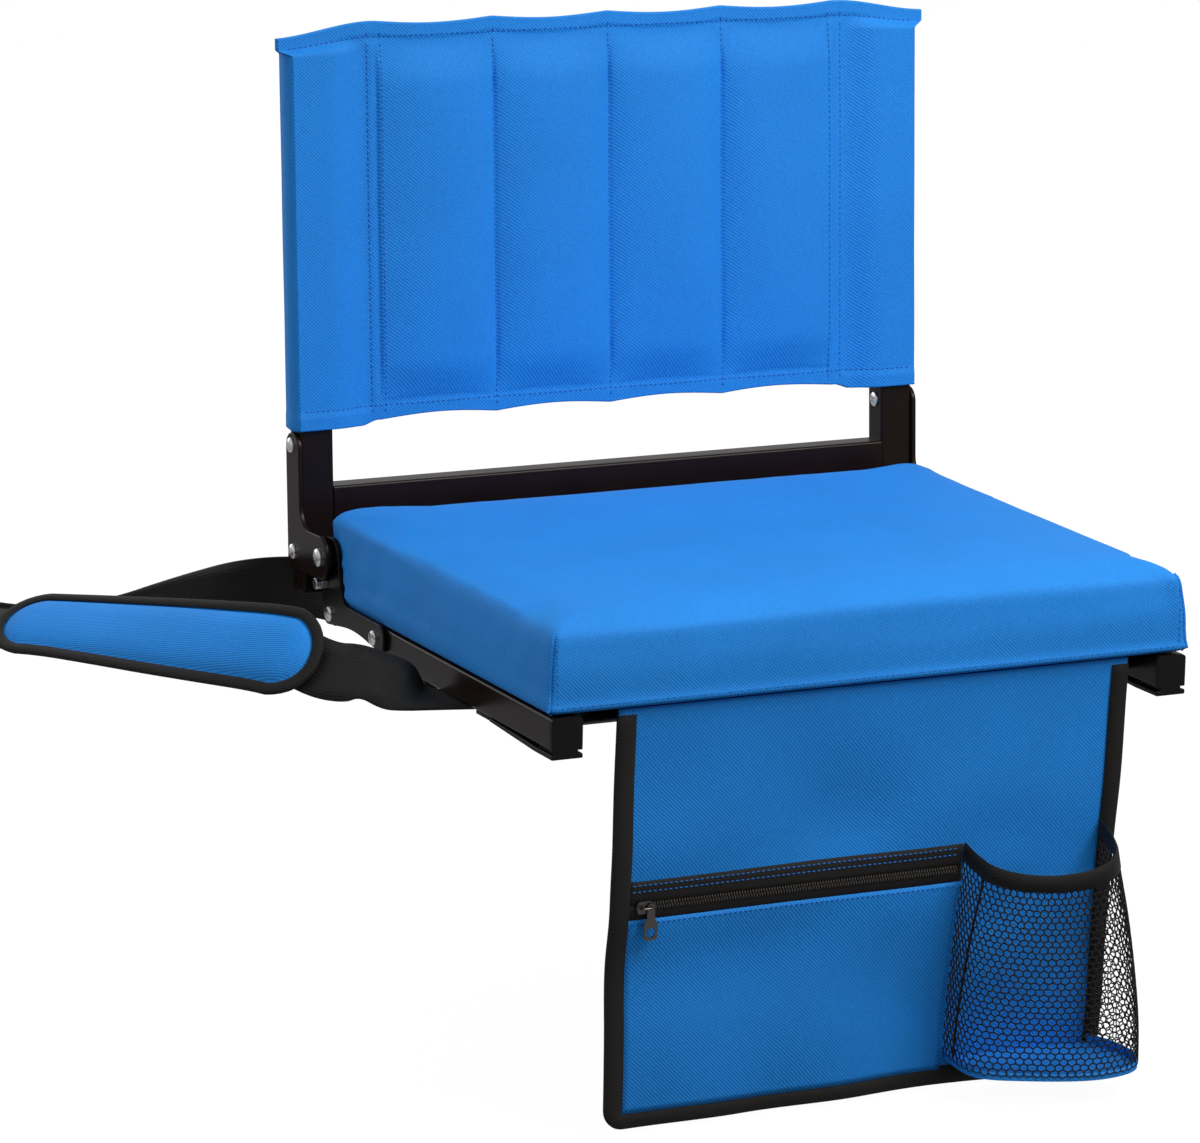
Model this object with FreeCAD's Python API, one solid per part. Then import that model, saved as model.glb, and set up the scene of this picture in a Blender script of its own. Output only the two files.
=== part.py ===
import FreeCAD, Part
import math
import os

from FreeCAD import Vector

# Padded stadium seat: a steel frame with a cushion, a folding back in a padded sleeve,
# a pocketed flap that hangs over the bench's front edge, and a carrying strap.
# Millimetres. +X is to the right seen from the front, +Y to the back, +Z up.
# The origin lies on the bench, midway between the rails and halfway along them.

# Driving sizes of the whole seat
cushion_width = 432.0
rail_length = 280.0

# Driving sizes of the seat frame
rail_inset = 4.0
rail_size = 20.0
rail_wall = 1.5
rail_slant = 22.0
foot_height = 5.0
foot_lip = 3.0
foot_neck_width = 14.0
foot_length = 26.0
tongue_length = 66.0
tongue_tip = 2.0
cap_thickness = 2.5
cap_corner_r = 2.5
cap_plug_length = 14.0
strip_width = 16.0
strip_chamfer = 4.0
strip_height = 3.0
front_strip_span = (-46.0, -20.0)
rear_strip_span = (52.0, 112.0)
cross_tube_r = 8.0
cross_tube_wall = 1.5
front_tube_setback = 40.0
rear_tube_lead = 1.0
insert_length = 20.0
insert_spare = 2.0

# Driving sizes of the hinge
plate = 3.0
bush_length = 4.0
bush_r = 7.0
pivot_setback = 62.0
pivot_rise = 29.0
pivot_r = 3.0
stop_pin_r = 3.5
stop_pin_neck_r = 2.5
stop_pin_proud = 1.0
stop_pin_offset = 5.0
back_lean = 2.0

# Driving sizes of the seat bracket
bracket_reach = 102.0
bracket_rail_bolt = 13.0
bracket_lobe = 13.0
bracket_arm_front = 12.0
bracket_arm_rear = 11.0
bracket_arm_flare = 10.0
bracket_lap = 2.0
bracket_lift = 3.5
bracket_arch = 6.5
bracket_arch_r = 150.0
bracket_tip_r = 8.0
bracket_top_r = 11.0

# Driving sizes of the back
upright_width = 22.0
upright_depth = 20.0
upright_wall = 1.5
upright_offset = 34.0
upright_drop = 27.0
crossbar_height = 24.0
crossbar_rise = 15.0
back_foot_r = 14.0
back_plate_rise = 74.0
back_plate_lead = 2.0
back_plate_corner_r = 10.0
back_plate_heel_r = 4.0
back_bolt_top = 66.0
back_bolt_low = -3.0
sleeve_rise = 76.0
sleeve_height = 258.0
sleeve_hem = 10.0
sleeve_flat = 26.0
sleeve_wall = 1.6
sleeve_slack = 0.4
sleeve_hem_reach = 8.0
channel_count = 4
channel_inset = 35.0
channel_front = 9.5
channel_rear = 7.0
seam_setback = 6.0
seam_thickness = 3.0
core_inset = 7.0
plug_flange = 2.5
plug_stem = 12.0

# Driving sizes of the cushion
cushion_rear_reach = 75.0
cushion_side = 52.0
cushion_crown = 6.0
cushion_overhang = 1.0
cushion_taper = 6.0
cushion_front_r = 14.0
cushion_rear_r = 28.0
cushion_least_r = 4.0
cover_wall = 1.2
foam_gap = 0.3
board_thickness = 5.0
board_inset = 9.0
seat_screw_inset = 92.0
seat_screw_spare = 1.0

# Driving sizes of the flap, measured down from its top seam
flap_inset_left = 46.0
flap_inset_right = 37.0
flap_height = 262.0
flap_taper = 7.0
flap_corner_r = 12.0
flap_seam = 1.0
flap_cloth = 1.6
flap_setback = 7.0
flap_tilt = 4.0
binding_width = 10.5
binding_drop = 6.0
binding_cloth = 0.8
zip_top = 107.0
zip_centre = 122.5
zip_bottom = 131.0
zip_inset = 2.0
tape_thickness = 0.9
coil_width = 5.0
coil_height = 1.8
coil_end = 4.0
pocket_cloth = 1.2
pocket_slant = 7.0
pocket_corner_r = 6.0

# Driving sizes of the bottle pocket
pouch_width = 83.0
pouch_inset = 23.0
pouch_depth_left = 36.0
pouch_depth_right = 58.0
pouch_top = 112.0
pouch_bottom = 247.0
pouch_flare_left = 3.0
pouch_flare_right = 6.0
pouch_spread = 2.0
pouch_corner_r = 14.0
net_thickness = 1.0
net_pitch = 14.0
net_strand = 2.0
net_border = 2.0
rim_height = 10.0
rim_thickness = 2.0
base_cloth = 1.2

# Driving sizes of the zip slider and its pull
slider_length = 11.0
slider_tail_r = 2.0
slider_nose_r = 3.4
slider_wall = 1.2
slider_gap = 0.2
bail_span = 6.0
bail_r = 0.9
bail_rise = 2.6
bail_sink = 0.3
bail_bar_share = 0.8
pull_length = 23.0
pull_width = 9.0
pull_thickness = 1.0
pull_hole_r = 3.0
pull_neck_r = 2.6
pull_corner_r = 2.5
pull_hole_inset = 1.8
pull_nearness = 0.3
pull_shoulder_share = 0.3
pull_shoulder_drop = 3.0

# Driving sizes of the strap and its shoulder pad
strap_width = 38.0
strap_thickness = 2.0
strap_lift = 0.3
strap_start_inset = 34.0
strap_start_tail = 8.0
strap_end_y = 6.0
strap_end_tail = 8.0
strap_screw_bite = 4.0
pad_length = 248.0
pad_half_width = 30.0
pad_binding = 8.0
pad_edge = 2.4
pad_front = 6.0
crown_steps = 8
pad_binding_cloth = 0.7
keeper_length = 26.0
keeper_wall = 1.4
keeper_spacing = 1.6

# Fasteners and fits
bolt_r = 3.0
bolt_head_r = 5.5
bolt_head_height = 3.0
nut_flats = 10.0
nut_height = 5.0
cap_nut_r = 5.0
cap_nut_height = 2.2
cap_nut_bite = 1.2
screw_r = 2.4
screw_head_r = 4.5
screw_head_height = 2.4
rivet_head_r = 6.5
rivet_tail_height = 1.8
head_taper = 0.7
bolt_sides = 12
screw_sides = 8
bolt_clearance = 0.15
running_gap = 0.05
axial_gap = 0.1
touch_gap = 0.05
fit_gap = 0.2

# Places worked out from the sizes above
rail_front = -rail_length / 2
rail_rear = rail_length / 2
rail_bottom = foot_height
rail_top = foot_height + rail_size
rail_mid = foot_height + rail_size / 2
rail_out = cushion_width / 2 - rail_inset
rail_in = rail_out - rail_size
tube_z = rail_top - cross_tube_r
front_tube_y = rail_front + front_tube_setback
pivot_y = rail_rear + pivot_setback
pivot_z = rail_top + pivot_rise
rear_tube_y = pivot_y - rear_tube_lead
rail_bolt_y = rail_rear - bracket_rail_bolt
seat_plate_out = rail_out + plate
upright_out = seat_plate_out + bush_length
upright_in = upright_out - upright_width
back_plate_out = upright_out + plate
upright_front = pivot_y + upright_offset
upright_rear = upright_front + upright_depth
upright_mid = upright_front + upright_depth / 2
sleeve_bottom = pivot_z + sleeve_rise
sleeve_top = sleeve_bottom + sleeve_height
upright_bottom = pivot_z - upright_drop
upright_top = sleeve_top - sleeve_flat
cushion_front = rail_front - cushion_overhang
cushion_rear = rail_rear + cushion_rear_reach
cushion_bottom = rail_top + fit_gap
flap_y = rail_front + flap_setback
flap_z = cushion_bottom - flap_seam
flap_face = flap_y - flap_cloth / 2
seat_screw_x = rail_out - seat_screw_inset
flap_left = -rail_out + flap_inset_left
flap_right = rail_out - flap_inset_right
pouch_right = flap_right - pouch_inset
pouch_left = pouch_right - pouch_width
zip_right = pouch_left - zip_inset
strap_start = Vector(-rail_out + strap_start_inset, rear_tube_y, tube_z - cross_tube_r)
strap_end = Vector(-rail_out + rail_size / 2, strap_end_y, rail_bottom)

nodes = {}
inward = Vector(1, 0, 0)
upward = Vector(0, 0, 1)
lean_axis = Vector(0, pivot_y, pivot_z)
flap_axis = Vector(0, flap_y, flap_z)


def block(x0, x1, y0, y1, z0, z1):
    return Part.makeBox(x1 - x0, y1 - y0, z1 - z0, Vector(x0, y0, z0))


def rod_x(radius, x0, x1, y, z):
    return Part.makeCylinder(radius, x1 - x0, Vector(x0, y, z), Vector(1, 0, 0))


def rod_y(radius, y0, y1, x, z):
    return Part.makeCylinder(radius, y1 - y0, Vector(x, y0, z), Vector(0, 1, 0))


def rod_z(radius, z0, z1, x, y):
    return Part.makeCylinder(radius, z1 - z0, Vector(x, y, z0), Vector(0, 0, 1))


def on_x(x):
    return lambda a, b: Vector(x, a, b)


def on_y(y):
    return lambda a, b: Vector(a, y, b)


def on_z(z):
    return lambda a, b: Vector(a, b, z)


def mirrored(shape):
    return shape.mirror(Vector(0, 0, 0), Vector(1, 0, 0))


def both_sides(shape):
    return Part.makeCompound([shape, mirrored(shape)])


def leaned(shape):
    shape.rotate(lean_axis, Vector(1, 0, 0), -back_lean)
    return shape


def hung(shape):
    shape.rotate(flap_axis, Vector(1, 0, 0), flap_tilt)
    return shape


def corner_bends(corners):
    """Start, centre and end of the tangent arc at each corner (a, b, radius)."""
    bends = []
    count = len(corners)
    for i in range(count):
        a, b, radius = corners[i]
        here = Vector(a, b, 0)
        back = Vector(corners[i - 1][0], corners[i - 1][1], 0) - here
        ahead = Vector(corners[(i + 1) % count][0], corners[(i + 1) % count][1], 0) - here
        back.normalize()
        ahead.normalize()
        half = back.getAngle(ahead) / 2
        bisector = back + ahead
        bisector.normalize()
        reach = radius / math.tan(half)
        bends.append((here + back * reach, here + bisector * (radius / math.sin(half)), here + ahead * reach))
    return bends


def corner_points(corners, segments):
    """Loop of points through the corners, with each arc in that many straight steps."""
    points = []
    for (start, centre, end), (a, b, radius) in zip(corner_bends(corners), corners):
        from_centre = start - centre
        to_centre = end - centre
        turn = from_centre.getAngle(to_centre)
        for step in range(segments + 1):
            share = step / segments
            near = from_centre * math.sin((1 - share) * turn)
            far = to_centre * math.sin(share * turn)
            points.append(centre + (near + far) * (1 / math.sin(turn)))
    return points


def rounded_outline(corners, place):
    """Closed wire through the corners, with a tangent arc at each radius."""
    edges = []
    bends = corner_bends(corners)
    for i, (start, centre, end) in enumerate(bends):
        radius = corners[i][2]
        if radius > 0:
            outward = (start + end) * 0.5 - centre
            outward.normalize()
            stations = (start, centre + outward * radius, end)
            edges.append(Part.Arc(*[place(p.x, p.y) for p in stations]).toShape())
        following = bends[(i + 1) % len(bends)][0]
        if end.distanceToPoint(following) > 1e-6:
            edges.append(Part.makeLine(place(end.x, end.y), place(following.x, following.y)))
    return Part.Wire(edges)


def skin(loops):
    """Solid through closed point loops of equal length, with flat facets between them."""
    faces = [Part.Face(Part.makePolygon(loop + loop[:1])) for loop in (loops[0], loops[-1])]
    for lower, upper in zip(loops, loops[1:]):
        for i in range(len(lower)):
            a, b, c, d = lower[i - 1], lower[i], upper[i], upper[i - 1]
            normal = (b - a).cross(d - a)
            flat = abs(normal.dot(c - a)) < 1e-7 * normal.Length
            facets = [(a, b, c, d, a)] if flat else [(a, b, c, a), (a, c, d, a)]
            faces += [Part.Face(Part.makePolygon(facet)) for facet in facets]
    solid = Part.makeSolid(Part.makeShell(faces))
    if solid.Volume < 0:
        solid.reverse()
    return solid


def prism(corners, place, along):
    return Part.Face(rounded_outline(corners, place)).extrude(along)


def ring(sides, radius, place, way):
    """Closed polygon round place, square to way, which runs along X or Z."""
    across = Vector(0, 1, 0)
    aside = way.cross(across)
    turns = [math.tau * (i + 0.5) / sides for i in range(sides)]
    points = [place + across * (radius * math.cos(t)) + aside * (radius * math.sin(t)) for t in turns]
    return Part.makePolygon(points + points[:1])


def shank(sides, radius, place, way, length):
    """Many-sided bar, for a fastener or the hole that it sits in."""
    return Part.Face(ring(sides, radius, place, way)).extrude(way * length)


def pan_head(sides, radius, height, place, way):
    bearing = ring(sides, radius, place, way)
    top = ring(sides, head_taper * radius, place - way * height, way)
    return Part.makeLoft([bearing, top], True, True)


def bolt(place, length):
    """Bolt whose head bears at place on the left and whose shank runs inward."""
    head = pan_head(bolt_sides, bolt_head_r, bolt_head_height, place, inward)
    return head.fuse(shank(bolt_sides, bolt_r, place, inward, length)).removeSplitter()


def screw(place, length):
    """Screw driven upward: its head bears at place from below."""
    head = pan_head(screw_sides, screw_head_r, screw_head_height, place, upward)
    return head.fuse(shank(screw_sides, screw_r, place, upward, length)).removeSplitter()


def bolt_hole(radius, x, y, z, length):
    return shank(bolt_sides, radius, Vector(x, y, z), inward, length)


def screw_hole(radius, x, y, z, length):
    return shank(screw_sides, radius, Vector(x, y, z), upward, length)


def nut(place):
    hexagon = ring(6, nut_flats / math.sqrt(3), place, inward)
    body = Part.Face(hexagon).extrude(inward * nut_height)
    return body.cut(bolt_hole(bolt_r + touch_gap, place.x, place.y, place.z, nut_height))


def cap_nut(place):
    """Low round nut that hides the end of its bolt."""
    body = pan_head(bolt_sides, cap_nut_r, cap_nut_height, place, -inward)
    return body.cut(bolt_hole(bolt_r + touch_gap, place.x, place.y, place.z, cap_nut_bite + touch_gap))


# Rails and cross tubes
rail_side = [
    (rail_front + cap_thickness, rail_bottom, 0),
    (rail_rear - rail_slant, rail_bottom, 0),
    (rail_rear, rail_top, 0),
    (rail_front + cap_thickness, rail_top, 0),
]
left_rail = prism(rail_side, on_x(-rail_out), Vector(rail_size, 0, 0))
left_rail = left_rail.cut(block(
    -rail_out + rail_wall, -rail_in - rail_wall, rail_front - 1, rail_rear + 1,
    rail_bottom + rail_wall, rail_top - rail_wall))
left_rail = left_rail.cut(bolt_hole(bolt_r + bolt_clearance, -rail_out, rail_bolt_y, tube_z, rail_size))
right_rail = mirrored(left_rail)
left_rail = left_rail.cut(screw_hole(screw_r + touch_gap, strap_end.x, strap_end.y, 0, rail_mid))


def cross_tube(half_length, y):
    tube = rod_x(cross_tube_r, -half_length, half_length, y, tube_z)
    tube = tube.cut(rod_x(cross_tube_r - cross_tube_wall, -half_length - 1, half_length + 1, y, tube_z))
    for x in (-seat_screw_x, seat_screw_x):
        tube = tube.cut(screw_hole(screw_r + bolt_clearance, x, y, 0, rail_top + 1))
    return tube


nodes["left_rail"] = left_rail
nodes["right_rail"] = right_rail
nodes["front_cross_tube"] = cross_tube(rail_in, front_tube_y)
nodes["rear_cross_tube"] = cross_tube(rail_out, rear_tube_y).cut(
    screw_hole(screw_r + touch_gap, strap_start.x, strap_start.y, 0, tube_z))
insert_r = cross_tube_r - cross_tube_wall - touch_gap
insert = bolt_hole(insert_r, -rail_out, rear_tube_y, tube_z, insert_length)
insert = insert.cut(bolt_hole(bolt_r + touch_gap, -rail_out, rear_tube_y, tube_z, insert_length))
nodes["rear_tube_inserts"] = both_sides(insert)

# End caps with their feet, and the strips under the rails
plug_inset = rail_wall + fit_gap
cap_face = [
    (-rail_out, rail_bottom, 0),
    (-rail_in, rail_bottom, 0),
    (-rail_in, rail_top, cap_corner_r),
    (-rail_out, rail_top, cap_corner_r),
]
end_cap = prism(cap_face, on_y(rail_front), Vector(0, cap_thickness, 0))
end_cap = end_cap.fuse(block(
    -rail_out + plug_inset, -rail_in - plug_inset, rail_front + cap_thickness,
    rail_front + cap_thickness + cap_plug_length, rail_bottom + plug_inset, rail_top - plug_inset))
neck_inset = (rail_size - foot_neck_width) / 2
end_cap = end_cap.fuse(block(
    -rail_out + neck_inset, -rail_in - neck_inset,
    rail_front, rail_front + foot_length, foot_lip, rail_bottom))
tongue_end = rail_front + foot_length + tongue_length
tongue_top = rail_bottom - 2 * touch_gap
foot_side = [
    (rail_front, 0, 0),
    (rail_front + foot_length, 0, 0),
    (tongue_end, tongue_top - tongue_tip, 0),
    (tongue_end, tongue_top, 0),
    (rail_front + foot_length, foot_lip, 0),
    (rail_front, foot_lip, 0),
]
end_cap = end_cap.fuse(prism(foot_side, on_x(-rail_out), Vector(rail_size, 0, 0))).removeSplitter()
nodes["left_end_cap"] = end_cap
nodes["right_end_cap"] = mirrored(end_cap)


def foot_strip(y0, y1, height):
    """Plastic strip with cut corners under the left rail."""
    x0 = strap_end.x - strip_width / 2
    x1 = strap_end.x + strip_width / 2
    corners = [(x, y, strip_chamfer) for x, y in ((x0, y0), (x1, y0), (x1, y1), (x0, y1))]
    plan = corner_points(corners, 1)
    strip = Part.Face(Part.makePolygon(plan + plan[:1])).extrude(upward * height)
    strip.translate(upward * (rail_bottom - height))
    return strip


strips = [foot_strip(*front_strip_span, strip_height), foot_strip(*rear_strip_span, foot_height)]
nodes["left_foot_strips"] = Part.makeCompound(strips)
nodes["right_foot_strips"] = mirrored(nodes["left_foot_strips"])

# Seat brackets: a plate from the rail's end up to the pivot, arched underneath
arm_front = pivot_y - bracket_arm_front
arm_rear = pivot_y + bracket_arm_rear
arm_top = pivot_z + bracket_lobe
bracket_tip = arm_rear - bracket_reach
bracket_low = rail_bottom + bracket_lift
bracket_top = rail_top + bracket_lap
seat_bracket_side = [
    (bracket_tip, bracket_low, bracket_tip_r),
    ((bracket_tip + arm_rear) / 2, bracket_low + bracket_arch, bracket_arch_r),
    (arm_rear, bracket_low, bracket_tip_r),
    (arm_rear, arm_top, bracket_top_r),
    (arm_front, arm_top, bracket_top_r),
    (arm_front - bracket_arm_flare, bracket_top, bracket_top_r),
    (bracket_tip, bracket_top, bracket_tip_r),
]
lean = math.radians(back_lean)
edge_down = Vector(0, -math.sin(lean), -math.cos(lean))
edge_along = Vector(0, math.cos(lean), -math.sin(lean))
stop_place = lean_axis + edge_down * (back_foot_r + stop_pin_r + touch_gap) + edge_along * stop_pin_offset
seat_bracket = prism(seat_bracket_side, on_x(-seat_plate_out), Vector(plate, 0, 0))
bracket_holes = (
    (pivot_y, pivot_z, pivot_r),
    (stop_place.y, stop_place.z, stop_pin_neck_r),
    (rear_tube_y, tube_z, bolt_r),
    (rail_bolt_y, tube_z, bolt_r),
)
for hole_y, hole_z, hole_r in bracket_holes:
    hole = bolt_hole(hole_r + bolt_clearance, -seat_plate_out, hole_y, hole_z, plate)
    seat_bracket = seat_bracket.cut(hole)
nodes["left_seat_bracket"] = seat_bracket
nodes["right_seat_bracket"] = mirrored(seat_bracket)
rail_bolt = bolt(Vector(-seat_plate_out, rail_bolt_y, tube_z), plate + rail_size + nut_height)
tube_bolt = bolt(Vector(-seat_plate_out, rear_tube_y, tube_z), plate + insert_length - insert_spare)
nodes["rail_bolts"] = both_sides(rail_bolt)
nodes["rail_nuts"] = both_sides(nut(Vector(-rail_in, rail_bolt_y, tube_z)))
nodes["tube_bolts"] = both_sides(tube_bolt)

# Pivot rivets, the bushes between the plates, and the pins that stop the back
rivet_place = Vector(-back_plate_out - axial_gap, pivot_y, pivot_z)
rivet_end = -rail_out + axial_gap
rivet = pan_head(bolt_sides, rivet_head_r, bolt_head_height, rivet_place, inward)
rivet = rivet.fuse(rod_x(pivot_r, rivet_place.x, rivet_end, pivot_y, pivot_z))
rivet_tail = shank(bolt_sides, bolt_head_r, Vector(rivet_end, pivot_y, pivot_z), inward, rivet_tail_height)
nodes["pivot_rivets"] = both_sides(rivet.fuse(rivet_tail).removeSplitter())
bush_place = Vector(-upright_out + axial_gap, pivot_y, pivot_z)
bush = shank(bolt_sides, bush_r, bush_place, inward, bush_length - axial_gap)
bush = bush.cut(rod_x(pivot_r + running_gap, -upright_out, -seat_plate_out + 1, pivot_y, pivot_z))
nodes["pivot_bushes"] = both_sides(bush)
stop_out = Vector(-back_plate_out - stop_pin_proud, stop_place.y, stop_place.z)
stop_neck = Vector(-seat_plate_out, stop_place.y, stop_place.z)
stop_pin = shank(bolt_sides, stop_pin_r, stop_out, inward, stop_neck.x - stop_out.x)
stop_pin = stop_pin.fuse(shank(bolt_sides, stop_pin_neck_r, stop_neck, inward, plate)).removeSplitter()
nodes["stop_pins"] = both_sides(stop_pin)

# Cushion: a crowned box form, used for the cover, its cavity and the foam
cushion_total = cushion_side + cushion_crown
cushion_rows = (
    (0.0, 5.0),
    (1.5, 2.4),
    (4.0, 1.0),
    (11.0, 0.2),
    (0.5 * cushion_side, 0.0),
    (cushion_side - 13.0, 0.4),
    (cushion_side - 7.0, 1.4),
    (cushion_side - 3.0, 3.4),
    (cushion_side, 7.5),
    (cushion_side + 0.3 * cushion_crown, 17.0),
    (cushion_side + 0.6 * cushion_crown, 38.0),
    (cushion_side + 0.85 * cushion_crown, 75.0),
    (cushion_total, 125.0),
)


def cushion_plan(z, inset, segments):
    front_half = cushion_width / 2 - inset
    rear_half = front_half - cushion_taper
    front_r = max(cushion_front_r - inset, cushion_least_r)
    rear_r = max(cushion_rear_r - inset, cushion_least_r)
    corners = [
        (-front_half, cushion_front + inset, front_r),
        (front_half, cushion_front + inset, front_r),
        (rear_half, cushion_rear - inset, rear_r),
        (-rear_half, cushion_rear - inset, rear_r),
    ]
    return [Vector(p.x, p.y, z) for p in corner_points(corners, segments)]


def cushion_core(shrink):
    """Simpler form inside the cushion, with every second row and cut corners."""
    share = (cushion_total - 2 * shrink) / cushion_total
    low = cushion_bottom + shrink
    return skin([cushion_plan(low + share * h, inset + shrink, 1) for h, inset in cushion_rows[::2]])


board_bottom = cover_wall + foam_gap
board_top = board_bottom + board_thickness
screw_marks = [(x, y) for y in (front_tube_y, rear_tube_y) for x in (-seat_screw_x, seat_screw_x)]
seat_cover = skin([cushion_plan(cushion_bottom + h, inset, 5) for h, inset in cushion_rows])
seat_cover = seat_cover.cut(cushion_core(cover_wall))
board_faces = (cushion_bottom + board_bottom, cushion_bottom + board_top)
seat_board = skin([cushion_plan(z, board_inset, 1) for z in board_faces])
below_foam = block(
    -cushion_width, cushion_width, cushion_front, cushion_rear, 0, board_faces[1] + foam_gap)
for x, y in screw_marks:
    seat_cover = seat_cover.cut(screw_hole(screw_r + bolt_clearance, x, y, rail_mid, rail_mid))
    seat_board = seat_board.cut(screw_hole(screw_r + touch_gap, x, y, rail_mid, rail_top))
nodes["seat_cover"] = seat_cover
nodes["seat_foam"] = cushion_core(cover_wall + foam_gap).cut(below_foam)
nodes["seat_board"] = seat_board
screw_length = 2 * cross_tube_r + fit_gap + board_top - seat_screw_spare
seat_screws = [screw(Vector(x, y, tube_z - cross_tube_r), screw_length) for x, y in screw_marks]
nodes["seat_screws"] = Part.makeCompound(seat_screws)

# Back frame: uprights, crossbar, brackets and their bolts
left_upright = block(-upright_out, -upright_in, upright_front, upright_rear, upright_bottom, upright_top)
left_upright = left_upright.cut(block(
    -upright_out + upright_wall, -upright_in - upright_wall, upright_front + upright_wall,
    upright_rear - upright_wall, upright_bottom - 1, upright_top + 1))
back_plate_front = upright_front - back_plate_lead
back_plate_side = [
    (pivot_y - back_foot_r, pivot_z - back_foot_r, back_foot_r - fit_gap),
    (pivot_y - back_foot_r, pivot_z + back_foot_r, back_foot_r - fit_gap),
    (back_plate_front, pivot_z + back_foot_r, back_foot_r - fit_gap),
    (back_plate_front, pivot_z + back_plate_rise, back_plate_corner_r),
    (upright_rear, pivot_z + back_plate_rise, back_plate_corner_r),
    (upright_rear, pivot_z - back_foot_r, back_plate_heel_r),
]
back_plate = prism(back_plate_side, on_x(-back_plate_out), Vector(plate, 0, 0))
back_plate = back_plate.cut(rod_x(
    pivot_r + running_gap, -back_plate_out - 1, -upright_out + 1, pivot_y, pivot_z))
back_bolts = []
back_nuts = []
for height in (pivot_z + back_bolt_top, pivot_z + back_bolt_low):
    hole = bolt_hole(bolt_r + bolt_clearance, -back_plate_out, upright_mid, height, plate + upright_width)
    left_upright = left_upright.cut(hole)
    back_plate = back_plate.cut(hole)
    head_place = Vector(-back_plate_out, upright_mid, height)
    back_bolts.append(bolt(head_place, plate + upright_width + cap_nut_bite))
    back_nuts.append(cap_nut(Vector(-upright_in, upright_mid, height)))
crossbar_low = pivot_z + crossbar_rise
crossbar = block(
    -upright_in, upright_in, upright_front, upright_rear, crossbar_low, crossbar_low + crossbar_height)
crossbar = crossbar.cut(block(
    -upright_in - 1, upright_in + 1, upright_front + upright_wall, upright_rear - upright_wall,
    crossbar_low + upright_wall, crossbar_low + crossbar_height - upright_wall))
nodes["left_upright"] = leaned(left_upright)
nodes["right_upright"] = mirrored(left_upright)
nodes["back_crossbar"] = leaned(crossbar)
nodes["left_back_bracket"] = leaned(back_plate)
nodes["right_back_bracket"] = mirrored(back_plate)
nodes["back_bracket_bolts"] = both_sides(leaned(Part.makeCompound(back_bolts)))
nodes["back_bracket_nuts"] = both_sides(leaned(Part.makeCompound(back_nuts)))

# Plugs in the uprights' ends
plug_gap = upright_wall + fit_gap


def upright_plug(end, way):
    """Flange on a tube end and a stem inside it; way is 1 for the top and -1 for the bottom."""
    flange_z = sorted((end, end + way * plug_flange))
    stem_z = sorted((end, end - way * plug_stem))
    flange = block(-upright_out, -upright_in, upright_front, upright_rear, *flange_z)
    stem = block(
        -upright_out + plug_gap, -upright_in - plug_gap,
        upright_front + plug_gap, upright_rear - plug_gap, *stem_z)
    return both_sides(leaned(flange.fuse(stem).removeSplitter()))


nodes["upright_bottom_plugs"] = upright_plug(upright_bottom, -1)
nodes["upright_top_plugs"] = upright_plug(upright_top, 1)

# Sleeve over the uprights: wings around the tubes, padded channels between, flat hem on top
seam_y = upright_front + seam_setback
channel_half = upright_in - channel_inset
channel_pitch = 2 * channel_half / channel_count
seam_xs = [-channel_half + i * channel_pitch for i in range(channel_count + 1)]
wing_gap = sleeve_slack + sleeve_wall


def bowed_outline(stops, z):
    """Closed wire at height z through stops (x, y, bow): bow moves the middle of the edge to it along Y."""
    edges = []
    for (x0, y0, past), (x1, y1, bow) in zip(stops[-1:] + stops[:-1], stops):
        start = Vector(x0, y0, z)
        end = Vector(x1, y1, z)
        middle = (start + end) * 0.5 + Vector(0, bow, 0)
        edges.append(Part.Arc(start, middle, end).toShape() if bow else Part.makeLine(start, end))
    return Part.Wire(edges)


def sleeve_plan(z, wrap, fill, reach):
    """Sleeve section: wrap 1 encloses the tubes, 0 is flat; fill 1 is full padding."""
    seam_front = seam_y - seam_thickness / 2
    seam_rear = seam_y + seam_thickness / 2
    front = seam_front + wrap * (upright_front - wing_gap - seam_front)
    rear = seam_rear + wrap * (upright_rear + wing_gap - seam_rear)
    outer = upright_out + wing_gap + reach
    inner = upright_in - wing_gap
    stops = [(-outer, front, 0), (-inner, front, 0), (seam_xs[0], seam_front, 0)]
    stops += [(x, seam_front, -channel_front * fill) for x in seam_xs[1:]]
    stops += [(inner, front, 0), (outer, front, 0), (outer, rear, 0), (inner, rear, 0)]
    stops += [(seam_xs[-1], seam_rear, 0)]
    stops += [(x, seam_rear, channel_rear * fill) for x in reversed(seam_xs[:-1])]
    stops += [(-inner, rear, 0), (-outer, rear, 0)]
    return bowed_outline(stops, z)


# Each row holds its height above the lower edge, then wrap, fill and reach
pad_low = 2.5 * sleeve_hem
pad_high = sleeve_height - 5.0 * sleeve_hem
sleeve_rows = (
    (0.0, 1.0, 0.15, 0.0),
    (sleeve_hem, 1.0, 0.35, 0.0),
    (pad_low, 1.0, 0.95, 0.0),
    (pad_high, 1.0, 1.0, 0.0),
    (sleeve_height - 0.85 * sleeve_flat, 1.0, 0.8, 0.0),
    (sleeve_height - sleeve_hem, 0.0, 0.15, sleeve_hem_reach),
    (sleeve_height, 0.0, 0.1, sleeve_hem_reach),
)
sleeve = Part.makeLoft([sleeve_plan(sleeve_bottom + h, *row) for h, *row in sleeve_rows], True, True)
pocket_x = (upright_in - sleeve_slack, upright_out + sleeve_slack)
pocket_y = (upright_front - sleeve_slack, upright_rear + sleeve_slack)
pocket_z = (sleeve_bottom - 1, upright_top + plug_flange + sleeve_slack)
sleeve = sleeve.cut(block(*pocket_x, *pocket_y, *pocket_z))
sleeve = sleeve.cut(block(-pocket_x[1], -pocket_x[0], *pocket_y, *pocket_z))


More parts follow.
